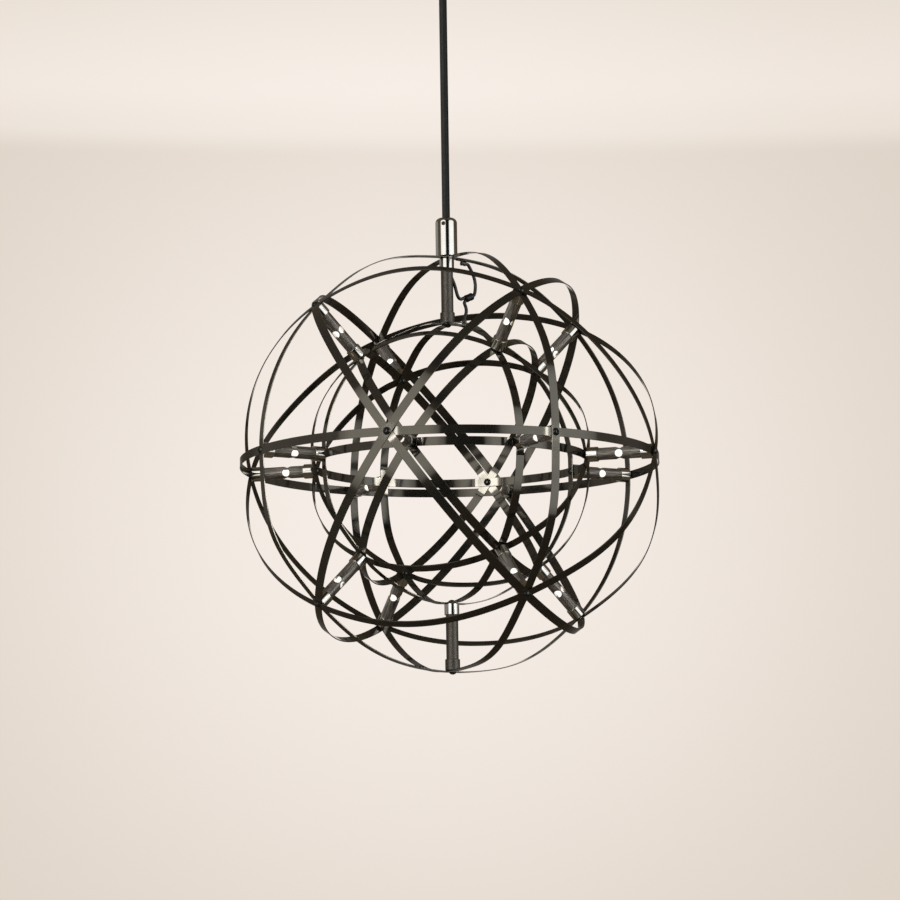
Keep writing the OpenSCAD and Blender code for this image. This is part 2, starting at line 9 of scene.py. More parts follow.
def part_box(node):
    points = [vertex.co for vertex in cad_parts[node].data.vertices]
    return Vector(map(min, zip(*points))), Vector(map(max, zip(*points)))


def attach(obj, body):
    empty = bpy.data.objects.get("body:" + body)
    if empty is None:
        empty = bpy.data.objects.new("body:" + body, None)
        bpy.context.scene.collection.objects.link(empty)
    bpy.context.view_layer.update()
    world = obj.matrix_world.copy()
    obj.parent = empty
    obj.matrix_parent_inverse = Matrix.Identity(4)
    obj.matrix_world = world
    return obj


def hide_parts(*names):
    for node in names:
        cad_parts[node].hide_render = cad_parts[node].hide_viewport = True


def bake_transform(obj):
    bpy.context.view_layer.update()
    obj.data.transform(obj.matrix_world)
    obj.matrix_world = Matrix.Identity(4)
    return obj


bl_info = {
    "name": "Cluster pendant light",
    "version": (1, 0, 0),
    "blender": (4, 5, 0),
    "location": "View3D > Sidebar > Pendant light",
    "description": "Dresses the packed pendant light: orbs, lamp arms, leads, stem, cable, canopy",
    "category": "Object",
}

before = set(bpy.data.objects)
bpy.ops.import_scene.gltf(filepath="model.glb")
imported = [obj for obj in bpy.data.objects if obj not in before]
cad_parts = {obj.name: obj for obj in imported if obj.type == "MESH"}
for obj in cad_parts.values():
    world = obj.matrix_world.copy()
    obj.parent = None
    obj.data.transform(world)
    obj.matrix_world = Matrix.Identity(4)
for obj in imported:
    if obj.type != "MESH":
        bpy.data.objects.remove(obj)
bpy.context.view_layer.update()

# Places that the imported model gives
LOW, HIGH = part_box("outer_equator")
ORB_Z = (LOW.z + HIGH.z) / 2
STEM_LOW, STEM_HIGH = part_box("stem")
GRIP_LOW, GRIP_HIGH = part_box("cord_grip")
CUP_LOW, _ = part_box("canopy_cup")

# Radii of the faces that the arms end on, the distance between layers of strips, and how high the
# strips stand between an arm's end and its screw's head
SEAT_OUT = 0.2463
SEAT_IN = 0.168
LAYER = 0.00125
PLAIN_STACK = 0.00245
SLANTED_STACK = 0.0037

# Wall of a ferrule that a tube's end stands on, and the play round tubes and the cable
FERRULE_WALL = 0.005
PLAY = 0.00005

# Length over which the cable bends at the cord grip, and how much further than on the large orb
# the small orb's strips lie flat at their crossings
BEND_LENGTH = 0.014
INNER_FLAT_EXTRA = 0.0065

# Distance within which vertices merge, and the angles past which an edge is shaded sharp and
# bevelled, in degrees
MERGE_DISTANCE = 1e-7
SHADE_SHARP = 32
BEVEL_SHARP = 40

# Lean of the slanted strips, and every arm as its turn and its rise in degrees. Each lamp sleeve
# is turned about its arm, in degrees, and its windows lie off its middle, in millimetres, so that
# the lit windows show as in the photograph
SLANT = math.atan(math.sqrt(2))
TOP_POLE = (0, 90)
BOTTOM_POLE = (0, -90)
LAMP_ARMS = (
    [(45 * k, 0) for k in range(8)]
    + [(90 * k, 45) for k in range(4)]
    + [(90 * k, -45) for k in range(4)]
)
SLEEVE_CLOCK = [20, 10, 10, 30, 70, 80, 65, 45, 35, 30, 40, 22, 30, 55, 45, 45]
SLEEVE_SHIFT = [6, 0, 0, 0, -4.5, -4.5, 0, 0, 0, -5, -6, 0, 6, 0, -6, 4.5]

# Layer of every strip at its crossings, outwards on the large orb and inwards on the small one
OUTER_LAYERS = {
    "outer_equator": [0, 0, 1, 0, 0, 0, 1, 0],
    "outer_meridian_a": [1, 0, 0, 0, 1, 0, 0, 0],
    "outer_meridian_b": [0, 0, 1, 0, 0, 0, 1, 0],
    "outer_slant_1": [1, 2, 1, 2, 1, 2],
    "outer_slant_2": [1, 2, 1, 2, 1, 2],
    "outer_slant_3": [1, 2, 1, 2, 1, 2],
    "outer_slant_4": [1, 2, 1, 2, 1, 2],
}
INNER_LAYERS = {
    "inner_equator": [1, 2, 0, 2, 1, 2, 0, 2],
    "inner_meridian_a": [0, 2, 1, 2, 0, 2, 1, 2],
    "inner_meridian_b": [1, 2, 0, 2, 1, 2, 0, 2],
    "inner_slant_1": [1, 0, 1, 0, 1, 0],
    "inner_slant_2": [1, 0, 1, 0, 1, 0],
    "inner_slant_3": [1, 0, 1, 0, 1, 0],
    "inner_slant_4": [1, 0, 1, 0, 1, 0],
}

# How far each stretch of a strip bows outwards between two of its crossings, in millimetres, as
# strips that are bent by hand do
BOWS = {
    "outer_meridian_a": [4.5, 4.5, 3, 0, 0, 0, 6.5, 7],
    "outer_meridian_b": [1, 3, 4.5, 0, 5.5, 2, 3, 0],
    "outer_slant_1": [0, 2.5, 0, 0, 0, 0],
    "outer_slant_2": [6.5, -3, 0, 0, 3, -2.5],
    "outer_slant_3": [0, -1.5, 2, 3, 3.5, 0],
    "outer_slant_4": [1, 3.5, 7, 0, 0, -5],
    "inner_equator": [0, -2.5, 0, 0, 0, -3, 0, 0],
    "inner_meridian_a": [0, 0, 2, 0, 2.5, 0, 2, 0],
    "inner_meridian_b": [0, -2, -3.5, 0, 3, 0, 0, 0],
    "inner_slant_2": [0, -3, 0, 0, 2, 0],
    "inner_slant_4": [0, 0, 2.5, 1, 0, -2],
}

# Lead routes beside the top tube, outwards and up from the orbs' centre, in metres
SUPPLY_ROUTE = [
    (0, 0.27755), (0, 0.262), (0, 0.250), (0, 0.243), (0.0007, 0.237), (0.0026, 0.2315),
    (0.0048, 0.227), (0.007, 0.2228), (0.0092, 0.2182), (0.0109, 0.2135), (0.0123, 0.2086),
    (0.0138, 0.2038), (0.0159, 0.2004), (0.0186, 0.1992), (0.0212, 0.2002), (0.02336, 0.2013),
]
OUTER_LEAD_ROUTE = [
    (0.0348, 0.20435), (0.0362, 0.2053), (0.0374, 0.2074), (0.0382, 0.211), (0.0386, 0.2155),
    (0.0384, 0.2205), (0.0371, 0.2265), (0.0349, 0.2318), (0.0326, 0.2362), (0.0306, 0.2397),
    (0.0288, 0.242), (0.0259, 0.2428),
]
INNER_LEAD_ROUTE = [
    (0.02504, 0.1976), (0.02385, 0.1966), (0.0233, 0.1952), (0.0236, 0.19365), (0.0246, 0.1913),
    (0.0255, 0.1882), (0.0257, 0.185), (0.0251, 0.1818), (0.0241, 0.179), (0.0233, 0.1764),
    (0.02275, 0.1733),
]
GATHER_START = (0.0245, 0.1996)
GATHER_HEADING = (0.909, 0.418)


class PendantLightSizes(bpy.types.PropertyGroup):
    strip_width: FloatProperty(
        name="Strip width", description="Width of every steel strip",
        default=0.010, min=0.008, max=0.011, unit="LENGTH")
    strip_thickness: FloatProperty(
        name="Strip thickness", description="Thickness of every steel strip",
        default=0.0012, min=0.0008, max=0.0016, unit="LENGTH")
    strip_edge: FloatProperty(
        name="Strip edge", description="Width of the broken edge along a strip",
        default=0.00018, min=0.00005, max=0.0003, unit="LENGTH")
    strip_steps: IntProperty(
        name="Strip steps", description="Segments round one strip", default=360, min=120, max=720)
    heading: FloatProperty(
        name="Heading", description="Compass turn from the front to the orbs' first plain crossing",
        default=math.radians(28.8), subtype="ANGLE")
    tube_diameter: FloatProperty(
        name="Tube diameter", description="Outer diameter of sleeves and pole tubes",
        default=0.0145, min=0.0135, max=0.0155, unit="LENGTH")
    tube_wall: FloatProperty(
        name="Tube wall", description="Wall of sleeves and pole tubes",
        default=0.0008, min=0.0006, max=0.0011, unit="LENGTH")
    window_diameter: FloatProperty(
        name="Window diameter", description="Diameter of the light windows in a sleeve",
        default=0.009, min=0.006, max=0.009, unit="LENGTH")
    ferrule_diameter: FloatProperty(
        name="Ferrule diameter", description="Diameter of the ferrules at the ends of an arm",
        default=0.0175, min=0.017, max=0.020, unit="LENGTH")
    ferrule_length: FloatProperty(
        name="Ferrule length", description="Length of a ferrule",
        default=0.013, min=0.010, max=0.016, unit="LENGTH")
    lamp_diameter: FloatProperty(
        name="Lamp diameter", description="Diameter of the capsule lamp's glass",
        default=0.009, min=0.008, max=0.0092, unit="LENGTH")
    lamp_length: FloatProperty(
        name="Lamp length", description="Length of the capsule lamp's glass",
        default=0.022, min=0.018, max=0.026, unit="LENGTH")
    screw_head: FloatProperty(
        name="Screw head", description="Diameter of the crossing screws' domed heads",
        default=0.009, min=0.007, max=0.010, unit="LENGTH")
    cable_diameter: FloatProperty(
        name="Cable diameter", description="Diameter of the suspension cable",
        default=0.0094, min=0.007, max=0.0095, unit="LENGTH")
    lead_diameter: FloatProperty(
        name="Lead diameter", description="Diameter of the low voltage leads",
        default=0.004, min=0.003, max=0.0042, unit="LENGTH")


class PendantLightFinishes(bpy.types.PropertyGroup):
    strip_colour: FloatVectorProperty(
        name="Strips", description="Mirror colour of the black nickel strips",
        default=(0.133, 0.124, 0.106), size=3, min=0, max=1, subtype="COLOR")
    tube_colour: FloatVectorProperty(
        name="Tubes", description="Mirror colour of the satin black tubes",
        default=(0.205, 0.192, 0.170), size=3, min=0, max=1, subtype="COLOR")
    sleeve_colour: FloatVectorProperty(
        name="Lamp sleeves", description="Mirror colour of the drawn lamp sleeves",
        default=(0.31, 0.275, 0.23), size=3, min=0, max=1, subtype="COLOR")
    bright_colour: FloatVectorProperty(
        name="Ferrules and stem", description="Mirror colour of the bright nickel turnings",
        default=(0.88, 0.865, 0.83), size=3, min=0, max=1, subtype="COLOR")
    screw_colour: FloatVectorProperty(
        name="Screws", description="Colour of the black screws",
        default=(0.012, 0.012, 0.011), size=3, min=0, max=1, subtype="COLOR")
    cable_colour: FloatVectorProperty(
        name="Cable", description="Colour of the cable's jacket",
        default=(0.028, 0.030, 0.028), size=3, min=0, max=1, subtype="COLOR")
    lamp_colour: FloatVectorProperty(
        name="Lamp light", description="Colour of the lit lamps",
        default=(1.0, 0.965, 0.88), size=3, min=0, max=1, subtype="COLOR")
    lamp_strength: FloatProperty(
        name="Lamp strength", description="Strength of the lit lamps' glow",
        default=1.12, min=0, max=20)


class PendantLightStage(bpy.types.PropertyGroup):
    camera_distance: FloatProperty(
        name="Camera distance", description="From the orbs' centre to the camera",
        default=4.28, min=1, unit="LENGTH")
    camera_rise: FloatProperty(
        name="Camera rise", description="Angle at which the camera looks up",
        default=math.radians(8.84), subtype="ANGLE")
    camera_roll: FloatProperty(
        name="Camera roll", description="Turn of the picture about its middle",
        default=math.radians(0.85), subtype="ANGLE")
    camera_lens: FloatProperty(
        name="Lens", description="Focal length on a 36 mm wide sensor", default=144.63, min=10)
    aim_lift: FloatProperty(
        name="Aim lift", description="Height of the camera's aim above the orbs' centre",
        default=0.0155, unit="LENGTH")
    aim_side: FloatProperty(
        name="Aim to the right", description="How far the aim is to the right of the orbs",
        default=0.0006, unit="LENGTH")
    box_strength: FloatProperty(
        name="Soft box strength", description="Brightness of the two soft boxes",
        default=1.1, min=0)
    key_strength: FloatProperty(
        name="Key strength", description="Strength of the broad lamp at the left",
        default=2.4, min=0)
    floor_height: FloatProperty(
        name="Floor height", description="Height of the floor below the ceiling",
        default=-2.1, max=-1, unit="LENGTH")


def sizes():
    """The sizes that the panel shows."""
    return bpy.context.scene.pendant_light_sizes


def finishes():
    """The colours that the panel shows."""
    return bpy.context.scene.pendant_light_finishes


def stage_values():
    """The camera's and the studio's values that the panel shows."""
    return bpy.context.scene.pendant_light_stage


# Places


def shift(x=0.0, y=0.0, z=0.0):
    """Matrix of a move."""
    return Matrix.Translation((x, y, z))


def spun(degrees, axis):
    """Matrix of a turn about an axis."""
    return Matrix.Rotation(math.radians(degrees), 4, axis)


def in_orb():
    """Matrix from the orbs' own frame to the row frame."""
    return shift(z=ORB_Z) @ Matrix.Rotation(sizes().heading - math.pi / 2, 4, "Z")


def along(arm):
    """Matrix that stands things on the orbs' centre with +Z along an arm."""
    turn, rise = arm
    return in_orb() @ spun(turn, "Z") @ spun(90 - rise, "Y")


def stack(arm):
    """Height of the strips between an arm's end and its screw's head: less with no slanted ones."""
    turn, rise = arm
    plain = abs(rise) == 90 or (rise == 0 and turn % 90 == 0)
    return PLAIN_STACK if plain else SLANTED_STACK


def route_point(place):
    """A point of a lead route in the row frame."""
    return in_orb() @ Vector((0, place[0], place[1]))


# Materials


def linear(*rgb):
    """A colour from 0 to 255 as linear light with alpha."""
    return [((c / 255 + 0.055) / 1.055) ** 2.4 if c > 10 else c / 255 / 12.92 for c in rgb] + [1.0]


def put(tree, kind, inputs=None, **settings):
    """Adds a node, sets it and its inputs, and links the inputs that are sockets."""
    made = tree.nodes.new(kind)
    for name, value in settings.items():
        setattr(made, name, value)
    for name, value in (inputs or {}).items():
        if isinstance(value, bpy.types.NodeSocket):
            tree.links.new(value, made.inputs[name])
        else:
            made.inputs[name].default_value = value
    return made


def calc(tree, operation, *values):
    """A Math node's result."""
    return put(tree, "ShaderNodeMath", dict(enumerate(values)), operation=operation).outputs[0]


def distance(tree, first, second):
    """The length of two sides at a right angle."""
    return calc(tree, "SQRT", calc(tree, "ADD", calc(tree, "MULTIPLY", first, first),
                                   calc(tree, "MULTIPLY", second, second)))


def ramp(tree, value, low, high, to_low=0.0, to_high=1.0):
    """A smooth step from one value to another."""
    return put(
        tree, "ShaderNodeMapRange",
        {"Value": value, "From Min": low, "From Max": high, "To Min": to_low, "To Max": to_high},
        interpolation_type="SMOOTHSTEP").outputs["Result"]


def window(tree, *edges):
    """1 between the inner edges of each value, easing to 0 at the outer ones."""
    whole = None
    for value, start, full, fade, end in zip(*[iter(edges)] * 5):
        for part in (ramp(tree, value, start, full), ramp(tree, value, end, fade)):
            whole = part if whole is None else calc(tree, "MULTIPLY", whole, part)
    return whole


def mix_colour(tree, factor, first, second):
    """A colour between two, each a socket or a value."""
    return put(tree, "ShaderNodeMix", {0: factor, 6: first, 7: second},
               data_type="RGBA").outputs[2]


def new_material(name):
    """A material, its node tree and its shader."""
    material = bpy.data.materials.new(name)
    material.use_nodes = True
    tree = material.node_tree
    return material, tree, tree.nodes["Principled BSDF"]


def noise(tree, where, scale, detail=2.0, roughness=0.5):
    """A cloud of values between 0 and 1."""
    return put(tree, "ShaderNodeTexNoise",
               {"Vector": where, "Scale": scale, "Detail": detail, "Roughness": roughness}
               ).outputs["Fac"]


def coordinates(tree, kind):
    """A kind of texture coordinates, such as UV."""
    return tree.nodes.new("ShaderNodeTexCoord").outputs[kind]


def axes(tree, vector):
    """The X, Y and Z of a vector."""
    return put(tree, "ShaderNodeSeparateXYZ", {0: vector}).outputs


def clouded(tree, cloud, colour, darker, brighter):
    """A colour that a cloud varies between darker and brighter."""
    return mix_colour(tree, cloud, [c * darker for c in colour] + [1],
                      [min(1, c * brighter) for c in colour] + [1])


def rough(tree, shader, cloud, grain, haze, gloss):
    """Roughness that cloud and grain raise above its least value."""
    uneven = calc(tree, "MULTIPLY_ADD", calc(tree, "MULTIPLY", cloud, grain), haze * 3, gloss)
    tree.links.new(uneven, shader.inputs["Roughness"])


def relief(tree, shader, depth, height):
    """Bumps as deep as depth, in metres, from a height between 0 and 1."""
    bump = put(tree, "ShaderNodeBump", {"Strength": 1.0, "Distance": depth, "Height": height})
    tree.links.new(bump.outputs["Normal"], shader.inputs["Normal"])


def drawing_marks_and_sheen(tree):
    """Streaks that run the length of a drawn tube, from its own UV map: drawing marks for the
    bumps, and painted highlight and painted shade streaks for the colour.
    """
    turn, along_tube, _ = axes(tree, coordinates(tree, "UV"))
    ring = put(tree, "ShaderNodeCombineXYZ",
               {"X": calc(tree, "COSINE", turn), "Y": calc(tree, "SINE", turn),
                "Z": calc(tree, "MULTIPLY", along_tube, 9.0)}).outputs[0]
    return noise(tree, ring, 5.0, 3.0, 0.65)


def lathe_marks(tree):
    """Fine rings that a lathe leaves, from a turned shape's own UV map."""
    height = axes(tree, coordinates(tree, "UV"))["Y"]
    return put(tree, "ShaderNodeTexNoise", {"W": height, "Scale": 2600.0, "Detail": 3.0},
               noise_dimensions="1D").outputs["Fac"]


def metal(name, colour, gloss, haze, wave, lathe=0.0, plating=1.0, drawn=0.0):
    """A plated metal: mirror colour, roughness, its variation, waviness, and its making's marks; a
    drawn one also gets painted highlight and painted shade streaks in its colour.
    """
    material, tree, shader = new_material(name)
    where = coordinates(tree, "Object")
    cloud = noise(tree, where, 60.0, 3.0)
    shader.inputs["Metallic"].default_value = plating
    tint = clouded(tree, cloud, colour, 0.86, 1.12)
    height = noise(tree, where, 28.0, 1.0)
    if lathe:
        height = calc(tree, "MULTIPLY_ADD", lathe_marks(tree), lathe, height)
    if drawn:
        marks_and_painted_sheen = drawing_marks_and_sheen(tree)
        # The dark and pale mixes are painted shade and painted highlight: darker and paler streaks
        # of the mirror colour along the tube, beside the drawing marks' real bumps
        dark = mix_colour(tree, 0.5, tint, (0, 0, 0, 1))
        pale = mix_colour(tree, 0.22, tint, (1, 1, 1, 1))
        tint = mix_colour(tree, ramp(tree, marks_and_painted_sheen, 0.36, 0.66), dark, pale)
        height = calc(tree, "MULTIPLY_ADD", marks_and_painted_sheen, drawn, height)
    tree.links.new(tint, shader.inputs["Base Color"])
    rough(tree, shader, cloud, noise(tree, where, 900.0, 2.0, 0.7), haze, gloss)
    relief(tree, shader, wave, height)
    return material


def coated(name, colour, gloss, haze, grain_scale, grain_depth, coat=0.0):
    """A painted, moulded or insulated surface with a fine grain."""
    material, tree, shader = new_material(name)
    where = coordinates(tree, "Object")
    cloud = noise(tree, where, 90.0, 3.0)
    grain = noise(tree, where, grain_scale, 2.0, 0.6)
    shader.inputs["Coat Weight"].default_value = coat
    shader.inputs["Coat Roughness"].default_value = 0.12
    tree.links.new(clouded(tree, cloud, colour, 0.8, 1.2), shader.inputs["Base Color"])
    rough(tree, shader, cloud, grain, haze, gloss)
    relief(tree, shader, grain_depth, grain)
    return material


def cable_jacket(name, colour):
    """A satin round jacket that shows the slow twist of the cores under it."""
    material, tree, shader = new_material(name)
    where = coordinates(tree, "Object")
    x, y, z = axes(tree, where)
    turn = calc(tree, "MULTIPLY", calc(tree, "ARCTAN2", y, x), 3.0)
    cores = calc(tree, "SINE", calc(tree, "MULTIPLY_ADD", z, 95.0, turn))
    cloud = noise(tree, where, 120.0, 3.0)
    grain = noise(tree, where, 1800.0, 2.0, 0.6)
    tree.links.new(clouded(tree, cloud, colour, 0.8, 1.3), shader.inputs["Base Color"])
    shader.inputs["Specular IOR Level"].default_value = 0.12
    tree.links.new(calc(tree, "MULTIPLY_ADD", cloud, 0.12, 0.24), shader.inputs["Roughness"])
    height = calc(tree, "MULTIPLY_ADD", grain, 0.12, calc(tree, "MULTIPLY", cores, 0.5))
    relief(tree, shader, 0.00012, height)
    return material


def lamp_light(name, colour, strength):
    """A lit capsule of frosted glass, brightest where it faces the eye."""
    material, tree, shader = new_material(name)
    cloud = noise(tree, coordinates(tree, "Object"), 400.0, 2.0)
    tree.links.new(clouded(tree, cloud, colour, 0.94, 1.0), shader.inputs["Emission Color"])
    shader.inputs["Base Color"].default_value = (0.9, 0.88, 0.84, 1)
    aside = put(tree, "ShaderNodeLayerWeight", {"Blend": 0.5}).outputs["Facing"]
    tree.links.new(ramp(tree, aside, 0.25, 1.0, strength, strength * 0.55),
                   shader.inputs["Emission Strength"])
    shader.inputs["Roughness"].default_value = 0.15
    return material


def make_materials():
    """Makes each finish once, by name."""
    kept = finishes()
    return {
        "strips": metal("black_nickel_strips", kept.strip_colour, 0.045, 0.05, 0.00012,
                        plating=0.88),
        "tubes": metal("satin_black_tubes", kept.tube_colour, 0.47, 0.06, 0.00005, lathe=0.05),
        "sleeves": metal("drawn_lamp_sleeves", kept.sleeve_colour, 0.40, 0.06, 0.00012,
                         plating=0.68, drawn=1.2),
        "bright": metal("bright_nickel_turnings", kept.bright_colour, 0.05, 0.05, 0.00004,
                        lathe=0.06),
        "canopy": metal("black_nickel_canopy", kept.strip_colour, 0.08, 0.05, 0.00006,
                        plating=0.88),
        "screws": coated("black_screws", kept.screw_colour, 0.18, 0.05, 1500.0, 0.00002, coat=0.6),
        "zinc": metal("zinc_steel", (0.55, 0.56, 0.57), 0.30, 0.10, 0.00006),
        "brass": metal("contact_brass", (0.72, 0.56, 0.30), 0.28, 0.10, 0.00004),
        "ceramic": coated("ceramic", (0.70, 0.67, 0.60), 0.55, 0.10, 700.0, 0.00005),
        "case": coated("driver_case", (0.66, 0.66, 0.63), 0.45, 0.08, 1400.0, 0.00006),
        "leads": coated("lead_insulation", (0.010, 0.010, 0.011), 0.20, 0.06, 900.0, 0.00004,
                        coat=0.5),
        "sleeve": coated("gather_sleeve", (0.012, 0.012, 0.012), 0.34, 0.08, 700.0, 0.00008),
        "cable": cable_jacket("cable_jacket", kept.cable_colour),
        "lamps": lamp_light("lit_lamp_glass", kept.lamp_colour, kept.lamp_strength),
    }


def finish_of(name):
    """The material of that finish, made with the others when the first is asked for."""
    if "pendant_light_materials" not in bpy.context.scene:
        made = make_materials()
        bpy.context.scene["pendant_light_materials"] = {k: m.name for k, m in made.items()}
    return bpy.data.materials[bpy.context.scene["pendant_light_materials"][name]]


# Shapes


def arc(centre, height, radius, degrees):
    """Points of an arc, each as its distance from Z and its height."""
    return [(centre + radius * math.cos(a), height + radius * math.sin(a))
            for a in map(math.radians, degrees)]


def dome(wide, high):
    """The line of a domed head, from near its rim to its middle."""
    ball = (wide * wide + high * high) / (2 * high)
    rim = math.asin(wide / ball)
    return [(ball * math.sin(rim * k / 8), high - ball + ball * math.cos(rim * k / 8))
            for k in range(7, -1, -1)]


def turned(points, steps=96, closed=False):
    """Spins a line of (radius, height) points about Z."""
    bm = bmesh.new()
    verts = [bm.verts.new((r, 0, z)) for r, z in points]
    pairs = list(zip(verts, verts[1:])) + ([(verts[-1], verts[0])] if closed else [])
    edges = [bm.edges.new(pair) for pair in pairs]
    bmesh.ops.spin(bm, geom=verts + edges, cent=(0, 0, 0), axis=(0, 0, 1),
                   angle=2 * math.pi, steps=steps, use_merge=True)
    bmesh.ops.remove_doubles(bm, verts=bm.verts, dist=MERGE_DISTANCE)
    bmesh.ops.recalc_face_normals(bm, faces=bm.faces)
    return bm


def rod(radius, depth, steps, place):
    """A closed cylinder along Z, moved to its place."""
    bm = bmesh.new()
    bmesh.ops.create_cone(bm, cap_ends=True, segments=steps, radius1=radius, radius2=radius,
                          depth=depth, matrix=place)
    return bm


def write_uv(bm):
    """UV for turning marks: U round the axis, V along the axis and across end faces."""
    layer = bm.loops.layers.uv.new("turning")
    for face in bm.faces:
        flat = abs(face.normal.z) > 0.9
        for loop in face.loops:
            place = loop.vert.co
            across = math.hypot(place.x, place.y)
            loop[layer].uv = (math.atan2(place.y, place.x), across if flat else place.z)


def is_sharp(edge, degrees):
    """Whether the two faces at an edge meet at more than an angle."""
    return len(edge.link_faces) == 2 and edge.calc_face_angle(0) > math.radians(degrees)


def round_edges(bm, width, segments):
    """Bevels the sharp edges."""
    bmesh.ops.bevel(bm, geom=[e for e in bm.edges if is_sharp(e, BEVEL_SHARP)], offset=width,
                    segments=segments, profile=0.5, affect="EDGES", material=-1,
                    clamp_overlap=True)


def placed(bm, matrix):
    """A copy of a shape at a place."""
    other = bm.copy()
    bmesh.ops.transform(other, matrix=matrix, verts=other.verts)
    return other


def joined(parts):
    """One shape of several."""
    whole = bmesh.new()
    spare = bpy.data.meshes.new("spare")
    for part in parts:
        part.to_mesh(spare)
        whole.from_mesh(spare)
    bpy.data.meshes.remove(spare)
    return whole


def cut_away(bm, cutter):
    """Takes one closed shape out of another."""
    holders = []
    for shape in (bm, cutter):
        mesh = bpy.data.meshes.new("spare")
        shape.to_mesh(mesh)
        holder = bpy.data.objects.new("spare", mesh)
        bpy.context.scene.collection.objects.link(holder)
        holders.append(holder)
    change = holders[0].modifiers.new("cut", "BOOLEAN")
    change.operation = "DIFFERENCE"
    change.solver = "EXACT"
    change.object = holders[1]
    bpy.context.view_layer.update()
    graph = bpy.context.evaluated_depsgraph_get()
    result = bpy.data.meshes.new_from_object(holders[0].evaluated_get(graph))
    left = bmesh.new()
    left.from_mesh(result)
    bpy.data.meshes.remove(result)
    for holder in holders:
        mesh = holder.data
        bpy.data.objects.remove(holder)
        bpy.data.meshes.remove(mesh)
    bmesh.ops.remove_doubles(left, verts=left.verts, dist=MERGE_DISTANCE)
    return left


def piece(name, bm, finish, body, nodes=(), bend=None):
    """Makes an object of a shape, smooth between its sharp edges, and ties it to its body; with a
    bend, it only bakes its place into its mesh and is tied to no body.

    A bend is the body above it, and the heights at which that body's hold ends and its own body's
    hold is whole; these are not used, only whether a bend is given.
    """
    for face in bm.faces:
        face.smooth = True
    for edge in bm.edges:
        if is_sharp(edge, SHADE_SHARP):
            edge.smooth = False
    mesh = bpy.data.meshes.new(name)
    bm.to_mesh(mesh)
    bm.free()
    made = bpy.data.objects.new(name, mesh)
    bpy.context.scene.collection.objects.link(made)
    mesh.materials.append(finish_of(finish))
    if bend:
        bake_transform(made)
    else:
        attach(made, body)
    if nodes:
        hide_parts(*nodes)
    shading = made.modifiers.new("shading", "WEIGHTED_NORMAL")
    shading.keep_sharp = True
    return made


def dress(node, finish):
    """Gives a CAD node its finish."""
    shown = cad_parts[node]
    shown.data.materials.clear()
    shown.data.materials.append(finish_of(finish))


def ease(share):
    """A step from 0 to 1 that starts and ends level."""
    return (1 - math.cos(math.pi * share)) / 2


def outline(faces, angle, flat, bows):
    """Radius of a strip's face at an angle: flat at its crossings, eased and bowed between them."""
    count = len(faces)
    step = 2 * math.pi / count
    angle = angle % (2 * math.pi)
    here = int(angle // step) % count
    after = angle - here * step
    first, second = faces[here], faces[(here + 1) % count]
    lean_first, lean_second = math.atan(flat / first), math.atan(flat / second)
    if after <= lean_first:
        return first / math.cos(after)
    if after >= step - lean_second:
        return second / math.cos(step - after)
    share = (after - lean_first) / (step - lean_first - lean_second)
    start, end = first / math.cos(lean_first), second / math.cos(lean_second)
    bow = bows[here] / 1000 * math.sin(math.pi * share) ** 2 if bows else 0
    return start + (end - start) * ease(share) + bow


def strip(faces, bows, longer):
    """A flat strip bent into a ring about Z, that passes over and under at its crossings.

    Longer is how much further it lies flat on each side of a crossing than the strips there need.
    """
    size = sizes()
    half, edge = size.strip_width / 2, size.strip_edge
    thick, past_crossing = size.strip_thickness, 0.0006
    flat = half / math.tan(SLANT / 2) + past_crossing + longer
    nominal = faces[0]
    profile = [
        (0, half - edge), (-edge, half), (-thick + edge, half), (-thick, half - edge),
        (-thick, -half + edge), (-thick + edge, -half), (-edge, -half), (0, -half + edge),
    ]
    bm = turned([(nominal + r, z) for r, z in profile], size.strip_steps, closed=True)
    for vert in bm.verts:
        place = vert.co
        radius = math.hypot(place.x, place.y)
        under_face = nominal - radius
        wanted = outline(faces, math.atan2(place.y, place.x), flat, bows) - under_face
        vert.co = Vector((place.x * wanted / radius, place.y * wanted / radius, place.z))
    return bm


def strip_place(node):
    """Where a strip's ring lies in the row frame."""
    if node.endswith("equator"):
        return in_orb()
    if "meridian" in node:
        return in_orb() @ spun(0 if node.endswith("_a") else 90, "Z") @ spun(90, "X")
    return in_orb() @ spun(90 * int(node[-1]) - 135, "Z") @ Matrix.Rotation(-SLANT, 4, "X")


def tube(length):
    """A tube that stands on z = 0, with softened ends."""
    size = sizes()
    outer = size.tube_diameter / 2
    inner = outer - size.tube_wall
    bm = turned([(inner, 0), (outer, 0), (outer, length), (inner, length)], closed=True)
    softened = 0.00015
    round_edges(bm, softened, 1)
    return bm


def ferrule(bore):
    """A turned ferrule whose wall stands on z = 0 and whose socket opens upwards."""
    size = sizes()
    outer, long = size.ferrule_diameter / 2, size.ferrule_length
    socket = size.tube_diameter / 2 + PLAY
    bm = turned([(bore, 0), (outer, 0), (outer, long), (socket, long), (socket, FERRULE_WALL),
                 (bore, FERRULE_WALL)], 80, closed=True)
    rims = [e for e in bm.edges if is_sharp(e, BEVEL_SHARP)
            and all(abs(math.hypot(v.co.x, v.co.y) - outer) < 1e-6 for v in e.verts)]
    bmesh.ops.bevel(bm, geom=rims, offset=0.0005, segments=3, profile=0.5, affect="EDGES",
                    material=-1)
    write_uv(bm)
    return bm


def hexagon_socket(depth, top):
    """A cutter for a socket of 2.5 mm across flats."""
    return rod(0.0025 / math.sqrt(3), depth, 6, shift(z=top - depth / 2))


